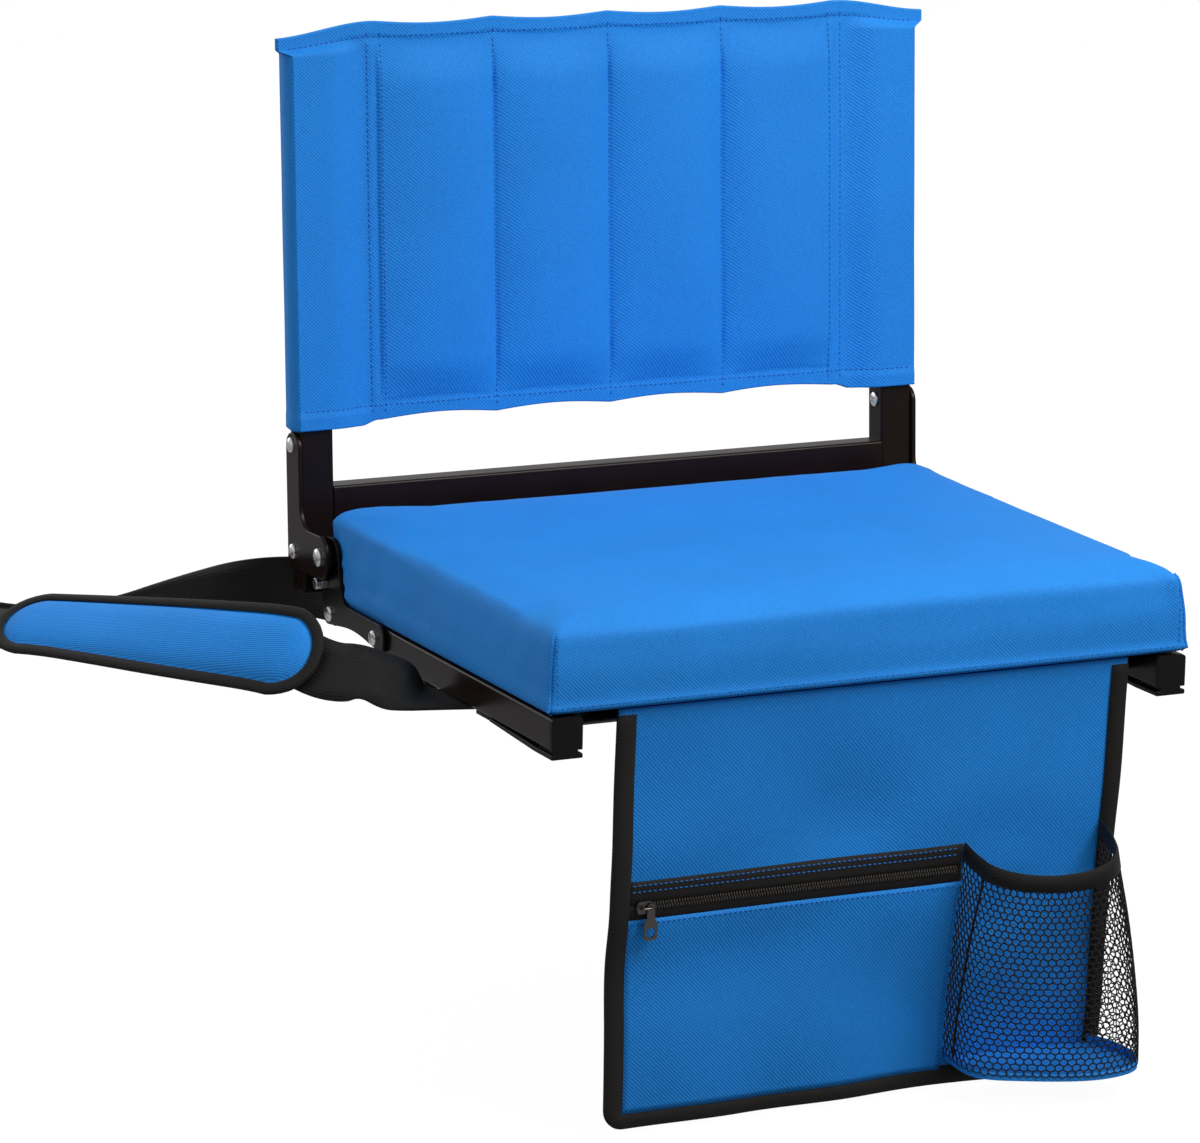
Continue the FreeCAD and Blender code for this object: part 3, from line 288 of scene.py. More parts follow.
black_plastic = moulded("moulded_black_polypropylene", "#0E0D0D", 0.42, 0.8)
bush_nylon = moulded("moulded_dark_nylon", "#1C1B1B", 0.5, 0.6)
# The coil's mid grey is a painted highlight: the nylon itself is black.
coil_nylon_painted_highlight = moulded("black_nylon_painted_grey_highlight", "#5A5550", 0.3, 0.5)
print("plastics:", black_plastic.name, bush_nylon.name, coil_nylon_painted_highlight.name)

# %% [markdown]
# The blue cloth is heavy polyester twill: the threads cross in steps, so fine diagonal ribs run over it.
# A wave that runs along x + y + z at once lies diagonally on the front, the top and the sides alike.
# The real rib is under 1 mm; it is drawn at 1.7 mm, which is about what shows at this distance.
# One full turn of a diagonal wave of scale 1 takes 0.444 m on a face along two axes.

# %% Woven cloth
diagonal_turn = 0.444


def woven(name, light, dark, pitch, depth, sheen):
    material, tree, shader = start_finish(name, light, Roughness=0.75, IOR=1.4, Sheen_Weight=sheen,
                                          Sheen_Roughness=0.4)
    place = add_node(tree, "TexCoord", {}, {})
    where = {"Vector": place.outputs["Object"]}
    rib = add_node(tree, "TexWave", {"Scale": diagonal_turn / (pitch * mm), "Distortion": 0.6,
                                     "Detail": 1.0, "Detail Scale": 2.0}, where,
                   wave_type="BANDS", bands_direction="DIAGONAL")
    slub = add_node(tree, "TexNoise", {"Scale": 1 / (2.2 * mm), "Detail": 3.0}, where)
    cloud = add_node(tree, "TexNoise", {"Scale": 1 / (70 * mm), "Detail": 2.0}, where)
    weave = add_node(tree, "Mix", {"Factor": 0.4}, {"A": rib.outputs["Fac"], "B": slub.outputs["Fac"]})
    shade = add_node(tree, "MapRange", {"From Min": 0.1, "From Max": 0.9},
                     {"Value": weave.outputs["Result"]})
    tone = add_node(tree, "Mix", {"A": linear(dark), "B": linear(light)}, {"Factor": shade.outputs[0]},
                    data_type="RGBA")
    # The slow value drift over 70 mm is partly the cloth's own uneven tone and partly painted shade for the
    # light and dark of soft wrinkles.
    tone_drift_and_painted_shade = add_node(tree, "MapRange", {"To Min": 0.9, "To Max": 1.07}, {"Value": cloud.outputs["Fac"]})
    final = add_node(tree, "HueSaturation", {},
                     {"Color": tone.outputs["Result"], "Value": tone_drift_and_painted_shade.outputs[0]})
    tree.links.new(final.outputs["Color"], shader.inputs["Base Color"])
    bump = add_node(tree, "Bump", {"Strength": depth, "Distance": 0.35 * mm},
                    {"Height": weave.outputs["Result"]})
    tree.links.new(bump.outputs[0], shader.inputs["Normal"])
    return material


blue_twill = woven("blue_polyester_twill", "#259EFC", "#1175D0", 1.7, 0.45, 0.0)
black_twill = woven("black_polyester_twill_tape", "#1D1A18", "#0C0A09", 1.5, 0.6, 0.05)
net_yarn = woven("black_knitted_polyester_yarn", "#1A1715", "#0B0908", 0.9, 0.4, 0.05)
blue_thread = woven("blue_polyester_thread", "#2A82DC", "#1661B0", 0.7, 0.4, 0.0)
print("cloths:", blue_twill.name, black_twill.name, net_yarn.name, blue_thread.name)

# %% [markdown]
# Webbing is woven as a tape: ribs run across it, one for each weft thread, and it bends only flatwise.
# Its pattern has to follow the strap, so the strap carries a UV map in metres, along and across.
# One full turn of a wave of scale 1 along an axis takes 0.314 m.

# %% Webbing
straight_turn = 0.314
webbing, tree, shader = start_finish("black_nylon_webbing", "#141110", Roughness=0.6, IOR=1.4)
place = add_node(tree, "UVMap", {}, {}, uv_map="along")
rib = add_node(tree, "TexWave", {"Scale": straight_turn / (1.6 * mm), "Distortion": 0.4, "Detail": 1.0},
               {"Vector": place.outputs[0]}, wave_type="BANDS", bands_direction="X")
yarn = add_node(tree, "TexWave", {"Scale": straight_turn / (2.4 * mm), "Distortion": 0.3},
                {"Vector": place.outputs[0]}, wave_type="BANDS", bands_direction="Y")
weave = add_node(tree, "Math", {}, {0: rib.outputs["Fac"], 1: yarn.outputs["Fac"]}, operation="MULTIPLY")
tone = add_node(tree, "Mix", {"A": linear("#0A0808"), "B": linear("#221E1C")},
                {"Factor": weave.outputs[0]}, data_type="RGBA")
tree.links.new(tone.outputs["Result"], shader.inputs["Base Color"])
bump = add_node(tree, "Bump", {"Strength": 0.5, "Distance": 0.4 * mm}, {"Height": weave.outputs[0]})
tree.links.new(bump.outputs[0], shader.inputs["Normal"])
print("webbing rib drawn at 1.6 mm")

# %% [markdown]
# The carrying strap is one free band of webbing, screwed under the rear tube and under the left rail.
# It leans on edge where it bends round and lies flat at its screws. Its middle line is a NURBS spline
# with the CAD route's points as its control points, and two more splines give its edges, so that it
# twists smoothly.

# %% Strap lines
strap_width = 38 * mm
strap_route = (
    (-178, 193, 7.95, 90), (-178, 216, 7.95, 90), (-182, 246, 15.7, 45), (-204, 269, 21.2, 6),
    (-242, 280, 21.2, -6), (-290, 274, 18.8, -30), (-345, 278, 11.8, -60), (-394, 314, 10.0, -66),
    (-434, 336, 15.7, -45), (-458, 306, 16.9, -40), (-434, 277, 11.2, -62), (-392, 248, 12.8, -66),
    (-356, 190, 16.9, -57), (-324, 135, 20.7, -48), (-289, 79, 24.2, -38), (-275, 57, 16.9, -40),
    (-264, 44, 17.3, -33), (-254, 32, 18.0, -60), (-244, 21, 13.2, -50), (-236, 15, 8.0, -72),
    (-228, 11, 4.2, -88), (-193, -2, 3.95, -90))


def spline_points(points, steps):
    """Points read from a NURBS spline with these control points."""
    data = bpy.data.curves.new("line", "CURVE")
    data.dimensions = "3D"
    data.resolution_u = steps
    spline = data.splines.new("NURBS")
    spline.points.add(len(points) - 1)
    for knot, point in zip(spline.points, points):
        knot.co = (*point, 1)
    spline.order_u = 3
    spline.use_endpoint_u = True
    line = bpy.data.objects.new("line", data)
    mesh = bpy.data.meshes.new_from_object(line)
    found = [vert.co.copy() for vert in mesh.vertices]
    bpy.data.objects.remove(line)
    bpy.data.meshes.remove(mesh)
    return found


def width_way(way, lean):
    """The way across a band that runs along way and leans that far from standing on edge."""
    standing = (Vector((0, 0, 1)) - way * way.z).normalized()
    lying = way.cross(standing)
    return standing * math.cos(math.radians(lean)) + lying * math.sin(math.radians(lean))


def ways_along(points):
    """The way that a line of points runs at each of them."""
    return [(after - before).normalized() for before, after in
            zip(points[:1] + points[:-1], points[1:] + points[-1:])]


def running_lengths(line):
    """The length along a line of points up to each of them."""
    lengths = [0.0]
    for before, after in zip(line, line[1:]):
        lengths.append(lengths[-1] + (after - before).length)
    return lengths


strap_knots = [Vector(stop[:3]) * mm for stop in strap_route]
knot_across = [width_way(way, stop[3]) for way, stop in zip(ways_along(strap_knots), strap_route)]
half_across = [across * strap_width / 2 for across in knot_across]
strap_line = spline_points(strap_knots, 12)
upper_line = spline_points([p + half for p, half in zip(strap_knots, half_across)], 12)
lower_line = spline_points([p - half for p, half in zip(strap_knots, half_across)], 12)
strap_across = [(up - low).normalized() for up, low in zip(upper_line, lower_line)]
strap_lengths = running_lengths(strap_line)
print("strap", round(strap_lengths[-1], 3), "m in", len(strap_line), "points")

# %% [markdown]
# The band itself: two rows of points bridged into faces, cut lengthwise into four, then given the
# thickness of the webbing. Along and across lengths are written to its UV map for the weave.

# %% Strap band
def skin(work, rows, closed=False):
    """Bridges rows of points to a skin and returns the edges of each row."""
    edges = []
    for row in rows:
        verts = [work.verts.new(point) for point in row]
        edges.append([work.edges.new(pair) for pair in zip(verts, verts[1:])])
    around = edges[:1] if closed else []
    for near, far in zip(edges, edges[1:] + around):
        bmesh.ops.bridge_loops(work, edges=near + far)
    return edges


def thicken(piece, thickness, offset=0):
    """Gives a sheet its thickness: to both sides (0), outwards (1) or inwards (-1)."""
    wall = piece.modifiers.new("cloth_thickness", "SOLIDIFY")
    wall.thickness = thickness
    wall.offset = offset


strap_columns = 4
work = bmesh.new()
edge_lines = [[p + a * strap_width * side for p, a in zip(strap_line, strap_across)] for side in (-0.5, 0.5)]
rows = skin(work, edge_lines)
rungs = [e for e in work.edges if e not in rows[0] and e not in rows[1]]
bmesh.ops.subdivide_edges(work, edges=rungs, cuts=strap_columns - 1, use_grid_fill=True)
bmesh.ops.recalc_face_normals(work, faces=work.faces)
uv = work.loops.layers.uv.new("along")
for face in work.faces:
    for loop in face.loops:
        near = min(range(len(strap_line)), key=lambda i: (strap_line[i] - loop.vert.co).length_squared)
        loop[uv].uv = (strap_lengths[near], (loop.vert.co - strap_line[near]).dot(strap_across[near]))
strap = finish_piece(work, "carry_strap_webbing", webbing, "seat", 60)
thicken(strap, 2 * mm)
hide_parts("carry_strap")
print("strap band", len(strap.data.polygons), "faces")

# %% [markdown]
# The steel pieces keep their CAD shapes. A copy of each mesh is merged, its flat triangles are dissolved
# into faces, and its outer edges are rounded: drawn tube has corners of about 2.5 mm, and stamped
# plates lose their sharp edge under the powder coat. The rounding catches the light as on the real frame.

# %% Steel pieces from their CAD meshes
def round_edges(work, edges, radius, segments):
    bmesh.ops.bevel(work, geom=edges, offset=radius, offset_type="OFFSET", segments=segments, profile=0.5,
                    affect="EDGES", material=-1)


def dress(node, finish, body, radius, least=0.0, segments=2):
    """A merged copy of a CAD node with its outer edges longer than least rounded."""
    work = bmesh.new()
    work.from_mesh(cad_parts[node].data)
    bmesh.ops.remove_doubles(work, verts=work.verts, dist=0.005 * mm)
    bmesh.ops.dissolve_limit(work, angle_limit=math.radians(1), verts=work.verts, edges=work.edges)
    sharp = [e for e in work.edges if len(e.link_faces) == 2 and e.is_convex
             and e.calc_face_angle() > math.radians(35) and e.calc_length() > least * mm]
    round_edges(work, sharp, radius * mm, segments)
    piece = finish_piece(work, node + "_finished", finish, body, 50)
    piece.modifiers.new("flat_faces_stay_flat", "WEIGHTED_NORMAL").keep_sharp = True
    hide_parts(node)
    return piece


for side in ("left", "right"):
    dress(side + "_rail", gloss_black, "seat", 2.2, 100, 3)
    dress(side + "_upright", gloss_black, "back", 2.2, 100, 3)
    dress(side + "_seat_bracket", satin_black, "seat", 0.7)
    dress(side + "_back_bracket", gloss_black, "back", 0.7)
    dress(side + "_end_cap", black_plastic, "seat", 0.6, 1.5)
    dress(side + "_foot_strips", black_plastic, "seat", 0.6, 3)
dress("back_crossbar", gloss_black, "back", 2.0, 100, 3)
dress("front_cross_tube", gloss_black, "seat", 0.4, 400)
dress("rear_cross_tube", gloss_black, "seat", 0.4, 400)
dress("upright_bottom_plugs", black_plastic, "back", 0.8, 15)
dress("upright_top_plugs", black_plastic, "back", 0.8, 15)
dress("seat_board", black_plastic, "seat", 0.8, 20)
dress("stop_pins", zinc, "seat", 0.3)
for node, finish in (("rear_tube_inserts", zinc), ("rail_nuts", zinc), ("pivot_bushes", bush_nylon)):
    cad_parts[node].data.materials.clear()
    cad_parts[node].data.materials.append(finish)
print("steel and plastic pieces dressed")

# %% [markdown]
# Bolts and rivets have bright pan heads. A head is a quarter profile spun round its axis; the driver's
# recess is cut with a Boolean. The back plates and pivots have slotted heads, the seat brackets cross
# recesses.

# %% Bolt heads
head_profile = ((1, 0, 0), (1, 0, 0.22), (0.93, 0, 0.38), (0.76, 0, 0.5), (0.45, 0, 0.58), (0, 0, 0.6))
recess_sizes = {"slot": (2.4, 0.3, 0.6), "cross": (1.1, 0.26, 0.8)}
recess_turns = {"slot": (35,), "cross": (35, 125)}
recess_height = 0.62


def pan_head(recess):
    """A head of radius 1 on the plane z = 0, with its recess open to the top."""
    work = bmesh.new()
    profile = [work.verts.new(p) for p in head_profile]
    edges = [work.edges.new(pair) for pair in zip(profile, profile[1:])]
    bmesh.ops.spin(work, geom=profile + edges, cent=(0, 0, 0), axis=(0, 0, 1), angle=math.tau, steps=24,
                   use_merge=True)
    bmesh.ops.remove_doubles(work, verts=work.verts, dist=1e-4)
    bmesh.ops.holes_fill(work, edges=[e for e in work.edges if e.is_boundary])
    bmesh.ops.recalc_face_normals(work, faces=work.faces)
    head = new_object(work, "head")
    cutter = bmesh.new()
    for degrees in recess_turns[recess]:
        place = turn_by(degrees, "Z") @ Matrix.Translation((0, 0, recess_height))
        bmesh.ops.create_cube(cutter, size=1, matrix=place @ Matrix.Diagonal((*recess_sizes[recess], 1)))
    tool = new_object(cutter, "recess")
    cut = head.modifiers.new("recess", "BOOLEAN")
    cut.object = tool
    cut.solver = "EXACT"
    cut.use_self = True
    bpy.context.view_layer.update()
    done = bpy.data.meshes.new_from_object(head.evaluated_get(bpy.context.evaluated_depsgraph_get()))
    bpy.data.objects.remove(head)
    bpy.data.objects.remove(tool)
    return done


heads = {"slot": pan_head("slot"), "cross": pan_head("cross")}
print("bolt heads:", ", ".join(heads))

# %% [markdown]
# Each bolt stands where its CAD solid is, read from the boxes of the node's loose solids. Its head is
# a little smaller and flatter than the solid's, as on the real seat, and its shank is a plain rod.

# %% Fasteners
def loose_boxes(node):
    work = bmesh.new()
    work.from_mesh(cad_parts[node].data)
    bmesh.ops.remove_doubles(work, verts=work.verts, dist=0.005 * mm)
    left = set(work.verts)
    boxes = []
    while left:
        group = [left.pop()]
        for vert in group:
            for edge in vert.link_edges:
                other = edge.other_vert(vert)
                if other in left:
                    left.remove(other)
                    group.append(other)
        corners = [[pick(v.co[i] for v in group) for i in range(3)] for pick in (min, max)]
        boxes.append((Vector(corners[0]), Vector(corners[1])))
    work.free()
    return boxes


head_flatness = 0.75


def fasten(node, recess, body, head_r, shank_r, rise, facing=1):
    """Pan-headed bolts in place of a node's solids along X, heads facing outwards (1) or inwards (-1)."""
    work = bmesh.new()
    for low, high in loose_boxes(node):
        middle = (low + high) / 2
        side = facing if middle.x > 0 else -facing
        under = (high.x if side > 0 else low.x) - side * rise * mm
        tail = low.x if side > 0 else high.x
        out = turn_by(90 * side, "Y")
        place = Matrix.Translation((under, middle.y, middle.z)) @ out
        before = set(work.verts)
        work.from_mesh(heads[recess])
        fresh = [v for v in work.verts if v not in before]
        size = Matrix.Diagonal((head_r * mm, head_r * mm, rise / head_flatness * mm, 1))
        bmesh.ops.transform(work, matrix=place @ size, verts=fresh)
        shank = Matrix.Translation(((under + tail) / 2, middle.y, middle.z)) @ out
        bmesh.ops.create_cone(work, cap_ends=True, segments=20, radius1=shank_r * mm, radius2=shank_r * mm,
                              depth=abs(under - tail), matrix=shank)
    piece = finish_piece(work, node + "_finished", zinc, body, 25)
    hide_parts(node)


fasten("rail_bolts", "cross", "seat", 4.9, 3, 3)
fasten("tube_bolts", "cross", "seat", 4.9, 3, 3)
fasten("back_bracket_bolts", "slot", "back", 4.9, 3, 3)
fasten("back_bracket_nuts", "cross", "back", 5, 3, 2.2, -1)
fasten("pivot_rivets", "slot", "seat", 5.8, 3, 3)
for node in ("seat_screws", "strap_screws"):
    dress(node, zinc, "seat", 0.3, 1)
print("fasteners made")

# %% [markdown]
# Padded cloth is blown up a little from inside: a closed mesh runs as cloth with air pressure and no
# gravity for 20 frames, pinned at its seams. How far a point may move is capped, so a pad keeps the room
# that its solid holds. The result replaces the mesh, and no Cloth modifier is left on the piece.

# %% Puffing a pad
def puff(work, pinned, cap, pressure=4.0, frames=20):
    """Returns the bmesh after a short cloth run; pinned and cap are functions of a vertex."""
    work.verts.index_update()
    piece = new_object(work.copy(), "puff")
    group = piece.vertex_groups.new(name="pinned")
    for vert in work.verts:
        held = pinned(vert.co)
        if held > 0:
            group.add([vert.index], held, "REPLACE")
    cloth = piece.modifiers.new("puff", "CLOTH")
    cloth.settings.use_pressure = True
    cloth.settings.uniform_pressure_force = pressure
    cloth.settings.effector_weights.gravity = 0
    cloth.settings.vertex_group_mass = "pinned"
    cloth.settings.mass = 0.3
    cloth.settings.bending_stiffness = 1.0
    cloth.point_cache.frame_start = 1
    cloth.point_cache.frame_end = frames
    for step in range(1, frames + 1):
        scene.frame_set(step)
    blown = piece.evaluated_get(bpy.context.evaluated_depsgraph_get()).to_mesh()
    for vert, moved in zip(work.verts, blown.vertices):
        shift = moved.co - vert.co
        most = cap(vert.co)
        if shift.length > most:
            shift *= most / shift.length
        vert.co += shift
    scene.frame_set(1)
    bpy.data.objects.remove(piece)
    print("puffed a shell of", len(work.verts), "points")
    return work


# %% [markdown]
# The cushion's rear sides stand close beside the hinge plates. Rays cast outwards from the middle find
# how near the plates, rivets, bushes and pins are, and the cushion may bulge only that far. The room
# narrows step by step towards them, from the front and from above, so that the cloth has no ledge.

# %% Room beside the hinge
def ease(value, start, end):
    """Goes smoothly from 0 at start to 1 at end."""
    share = max(0.0, min(1.0, (value - start) / (end - start)))
    return share * share * (3 - 2 * share)


work = bmesh.new()
for node in ("left_seat_bracket", "right_seat_bracket", "pivot_rivets", "pivot_bushes", "stop_pins"):
    work.from_mesh(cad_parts[node].data)
hinge_tree = BVHTree.FromBMesh(work)
work.free()
full_room, hinge_gap = 218.5 * mm, 0.8 * mm
ray_offsets = ((0, 0), (-1.5, 0), (3, 0), (0, 3), (0, -3), (0, -8), (0, -14), (8, -3), (16, -3), (24, -3))


def side_room(point):
    """Half the width that is free for the cushion: full, but drawn in where a hinge plate is beside it."""
    room = full_room
    if point.y > 80 * mm:
        way = Vector((math.copysign(1, point.x), 0, 0))
        slope = 1.5 - 1.2 * ease(point.z, 36 * mm, 60 * mm)
        for y, z in ray_offsets:
            hit = hinge_tree.ray_cast(Vector((0, point.y + y * mm, point.z + z * mm)), way)[0]
            if hit:
                taper = max(0, y - 3) * slope + max(0, -z - 3) * (slope - 0.05)
                room = min(room, abs(hit.x) - hinge_gap + taper * mm)
    return room


hinge_room = min(side_room(Vector((1, 150 * mm, z * mm))) for z in range(20, 70))
print("room beside the hinge", round(hinge_room, 4), "of", round(full_room, 4), "m")

# %% [markdown]
# The box cushion is a foam slab in a sewn cover, a little fuller at its rear top corners. The block is
# bevelled, remeshed to an even 6 mm grid and puffed, with its bottom edge held.

# %% Cushion block
cushion_low, cushion_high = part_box("seat_cover")


def remeshed(work, voxel):
    """An even grid of faces over a closed shape."""
    piece = new_object(work, "remesh")
    even = piece.modifiers.new("even", "REMESH")
    even.mode = "VOXEL"
    even.voxel_size = voxel * mm
    bpy.context.view_layer.update()
    done = bmesh.new()
    done.from_mesh(piece.evaluated_get(bpy.context.evaluated_depsgraph_get()).to_mesh())
    bpy.data.objects.remove(piece)
    return done


work = bmesh.new()
bmesh.ops.create_cube(work, size=1)
low = cushion_low + Vector((1.5, 1.5, 0.4)) * mm
high = Vector((cushion_high.x - 1.5 * mm, cushion_high.y - 1.5 * mm, cushion_low.z + 52 * mm))
for vert in work.verts:
    vert.co = Vector([low[i] + (high[i] - low[i]) * (vert.co[i] + 0.5) for i in range(3)])
    if vert.co.y > 0 and vert.co.z > 50 * mm:
        vert.co += Vector((math.copysign(3.5 * mm, vert.co.x), 0, 5 * mm))
uprights = [e for e in work.edges if abs(e.verts[0].co.z - e.verts[1].co.z) > 10 * mm]
front_ups = [e for e in uprights if e.verts[0].co.y < 0]
round_edges(work, front_ups, 4 * mm, 4)
rear_ups = [e for e in work.edges if e.verts[0].co.y > 0.1 and e.verts[1].co.y > 0.1
            and abs(e.verts[0].co.z - e.verts[1].co.z) > 10 * mm]
round_edges(work, rear_ups, 15 * mm, 6)
rims = [e for e in work.edges if e.calc_face_angle() > 1 and max(v.co.z for v in e.verts) > 60 * mm
        and abs(e.verts[0].co.z - e.verts[1].co.z) < 6 * mm]
round_edges(work, rims, 5 * mm, 3)
work = remeshed(work, 6)


def cushion_pin(point):
    return 1.0 if point.z < cushion_low.z + 4 * mm else 0.0


def cushion_cap(point):
    return (1.5 + 3.0 * ease(point.z, cushion_low.z + 20 * mm, cushion_low.z + 50 * mm)) * mm


work = puff(work, cushion_pin, cushion_cap)
print("cushion block", len(work.faces), "faces")

# %% [markdown]
# A smoothed and finer mesh carries the cover's small forms. The slack left side gets the shallow creases
# that foam leaves in a cover, the front has fainter ones and the top a slow wave. The hem stands out
# a little, and the two front corners run out to the ridge of their seams.

# %% Cushion cover
side_crease, front_crease, top_wave = 1.8 * mm, 1.2 * mm, 0.9 * mm
hem_out, ridge_out, ridge_reach = 2.2 * mm, 2.4 * mm, 6 * mm
corner_x, corner_y = 216 * mm, -141 * mm
bmesh.ops.smooth_vert(work, verts=work.verts, factor=0.5, use_axis_x=True, use_axis_y=True, use_axis_z=True)
bmesh.ops.subdivide_edges(work, edges=work.edges, cuts=1, use_grid_fill=True, smooth=0.3)
middle = (cushion_low + cushion_high) / 2
for vert in work.verts:
    point, normal = vert.co, vert.normal
    inside = max(0.0, 1 - abs(point.z - middle.z) / (30 * mm))
    if normal.x < -0.6:
        crease = noise.noise(Vector((point.y * 28, point.z * 16 + point.y * 18, 3.1)))
        point.x -= crease * inside * side_crease
    if normal.y < -0.6:
        crease = noise.noise(Vector((point.x * 14, point.z * 22, 7.7)))
        point.y -= crease * inside * front_crease
    if normal.z > 0.6:
        point.z += top_wave * noise.noise(Vector((point.x * 9, point.y * 9, 1.4)))
    hem = hem_out * (1 - ease(point.z, cushion_low.z, cushion_low.z + 8 * mm))
    if abs(point.x) > 195 * mm:
        point.x += math.copysign(hem, point.x)
    if point.y < -120 * mm:
        point.y -= hem
    from_corner = Vector((abs(point.x) - corner_x, point.y - corner_y)).length
    ridge = ridge_out * math.exp(-(from_corner / ridge_reach) ** 2)
    point.x += math.copysign(ridge, point.x)
    point.y -= ridge
    if abs(point.x) > 200 * mm:
        room = side_room(point)
        point.x = max(-room, min(room, point.x))
    point.z = max(point.z, cushion_low.z + 0.2 * mm)
cushion = finish_piece(work, "cushion_cover", blue_twill, "seat", 70)
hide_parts("seat_cover", "seat_foam")
print("cushion", len(cushion.data.polygons), "faces")

# %% [markdown]
# Stitches are short threads that dip into the cloth at each end. One small form is laid along a line of
# points on the cloth; points are found by casting a ray at the finished mesh. A welt is the round rib
# that two layers of cloth make where they are sewn together.

# %% Stitches and welts
def stitch_line(work, points, pitch, radius):
    """Lays stitches along a polyline of points that already lie on the cloth."""
    left = 0.0
    count = 0
    for before, after in zip(points, points[1:]):
        run = after - before
        while left + pitch <= run.length:
            centre = before + run.normalized() * (left + pitch / 2)
            turned = run.to_track_quat("X", "Z").to_matrix().to_4x4()
            size = Matrix.Diagonal((pitch * 0.36, radius, radius, 1))
            place = Matrix.Translation(centre) @ turned @ size
            bmesh.ops.create_icosphere(work, subdivisions=1, radius=1, matrix=place)
            left += pitch
            count += 1
        left -= run.length
    return count


def cast_line(tree, starts, way):
    """Points where rays from starts along way meet a mesh."""
    found = [tree.ray_cast(start, way)[0] for start in starts]
    return [p for p in found if p is not None]


def spread(start, end, count):
    return [start + (end - start) * (i / (count - 1)) for i in range(count)]


def welt(points, radius):
    """A round rib of cloth along a line of points."""
    work = bmesh.new()
    ways = ways_along(points)
    rows = []
    for i in range(8):
        around = [Matrix.Rotation(math.tau * i / 8, 3, way) @ way.orthogonal().normalized() for way in ways]
        rows.append([p + out * radius for p, out in zip(points, around)])
    skin(work, rows, closed=True)
    bmesh.ops.holes_fill(work, edges=[e for e in work.edges if e.is_boundary])
    bmesh.ops.recalc_face_normals(work, faces=work.faces)
    return work


cushion_tree = BVHTree.FromObject(cushion, bpy.context.evaluated_depsgraph_get())
rearward = Vector((0, 1, 0))
ahead_y = -0.3
front_middle = cushion_tree.ray_cast(Vector((0, ahead_y, 50 * mm)), rearward)[0]
print("cushion's front at", round(front_middle.y, 4), "m")

# %% [markdown]
# The cover is stitched along its front hem and beside its two front corners, and each corner seam is
# a welt.

# %% Cushion seams
hem_z = cushion_low.z + 5 * mm
edge = cushion_high.x - 9 * mm
cushion_stitch = (4 * mm, 0.4 * mm)
work = bmesh.new()
starts = spread(Vector((-edge, ahead_y, hem_z)), Vector((edge, ahead_y, hem_z)), 60)
made = stitch_line(work, cast_line(cushion_tree, starts, rearward), *cushion_stitch)
for side, name in ((-1, "left"), (1, "right")):
    x = side * (cushion_high.x - 8 * mm)
    low, high = cushion_low.z + 6 * mm, cushion_low.z + 44 * mm
    starts = spread(Vector((x, ahead_y, low)), Vector((x, ahead_y, high)), 12)
    made += stitch_line(work, cast_line(cushion_tree, starts, rearward), *cushion_stitch)
    inward = Vector((-side, 1, 0)).normalized()
    corner = Vector((side * 260 * mm, -185 * mm, 0))
    starts = spread(corner + Vector((0, 0, 27 * mm)), corner + Vector((0, 0, 74 * mm)), 24)
    rib = welt([p - inward * 0.6 * mm for p in cast_line(cushion_tree, starts, inward)], 1.1 * mm)
    rib = finish_piece(rib, "cushion_corner_seam_" + name, blue_twill, "seat", 60)
    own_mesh(rib)
cushion_stitches = finish_piece(work, "cushion_stitching", blue_thread, "seat")
for piece in (cushion, cushion_stitches):
    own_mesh(piece)
print("cushion stitches", made)

# %% [markdown]
# The back is a cloth sleeve pulled over the two uprights: it wraps each tube, is stitched flat beside it,
# and holds four padding strips between stitched seams. On top, front and rear cloth are sewn together
# to a flat hem whose ends stick out past the tubes and droop. One function places the grid's points
# closer together at the seams, and one gives each point its depth.

# %% Sleeve form
def tilted(degrees, pivot):
    """A turn about the X axis through pivot."""
    return Matrix.Translation(pivot) @ turn_by(degrees, "X") @ Matrix.Translation(-pivot)


lean = tilted(-2, Vector((0, 0.202, 0.054)))
sleeve_low, sleeve_high = 130 * mm, 388 * mm
sleeve_width, sleeve_height = 441 * mm, sleeve_high - sleeve_low
channel, tube_span = 81 * mm, 58.5 * mm
seam_xs = [i * channel for i in (-2, -1, 0, 1, 2)]
hem_wider = 8 / 221


def gathered(share, pull):
    """Moves grid lines towards both ends of a span, so that seams and hems get the finer faces."""
    return share - pull * math.sin(math.tau * share) / math.tau


def sleeve_place(x, z):
    """Where a point of the even grid goes: closer lines beside seams and hems."""
    start = min(2, int(abs(x) / channel + 1e-6)) * channel
    span = channel if start < 160 * mm else tube_span
    x = math.copysign(start + span * gathered((abs(x) - start) / span, 0.65), x)
    return x, sleeve_low + gathered((z - sleeve_low) / sleeve_height, 0.6) * sleeve_height


def channel_arch(x):
    """0 at the seams, 1 in the middle of a padded channel."""
    return math.sin(math.pi * (abs(x) % channel) / channel) if abs(x) < 2 * channel else 0


def sleeve_form(x, z, front):
    """Depth of the sleeve's front or rear cloth before it is puffed, and the x of its wider hem."""
    wing = ease(abs(x), 169 * mm, 196 * mm)
    flat = ease(z, 370 * mm, 381 * mm)
    seam = (240.5 if front else 243.5) * mm
    tube = (234.0 if front else 258.0) * mm
    bulge = channel_arch(x) ** 0.45
    fill = ease(z, sleeve_low + 6 * mm, sleeve_low + 42 * mm) * (1 - ease(z, 348 * mm, 378 * mm))
    strip = ease(abs(x), 158 * mm, 159.5 * mm) * (1 - ease(abs(x), 168 * mm, 169.5 * mm)) * (1 - flat)
    hem = ease(z, 379 * mm, 380.5 * mm) + 1 - ease(z, sleeve_low + 9 * mm, sleeve_low + 10.5 * mm)
    depth = seam + (tube - seam) * wing * (1 - flat)
    depth += ((-6.5 if front else 5.0) * bulge * fill + (-0.8 if front else 0.8) * max(strip, hem)) * mm
    return depth, x * (1 + flat * hem_wider)


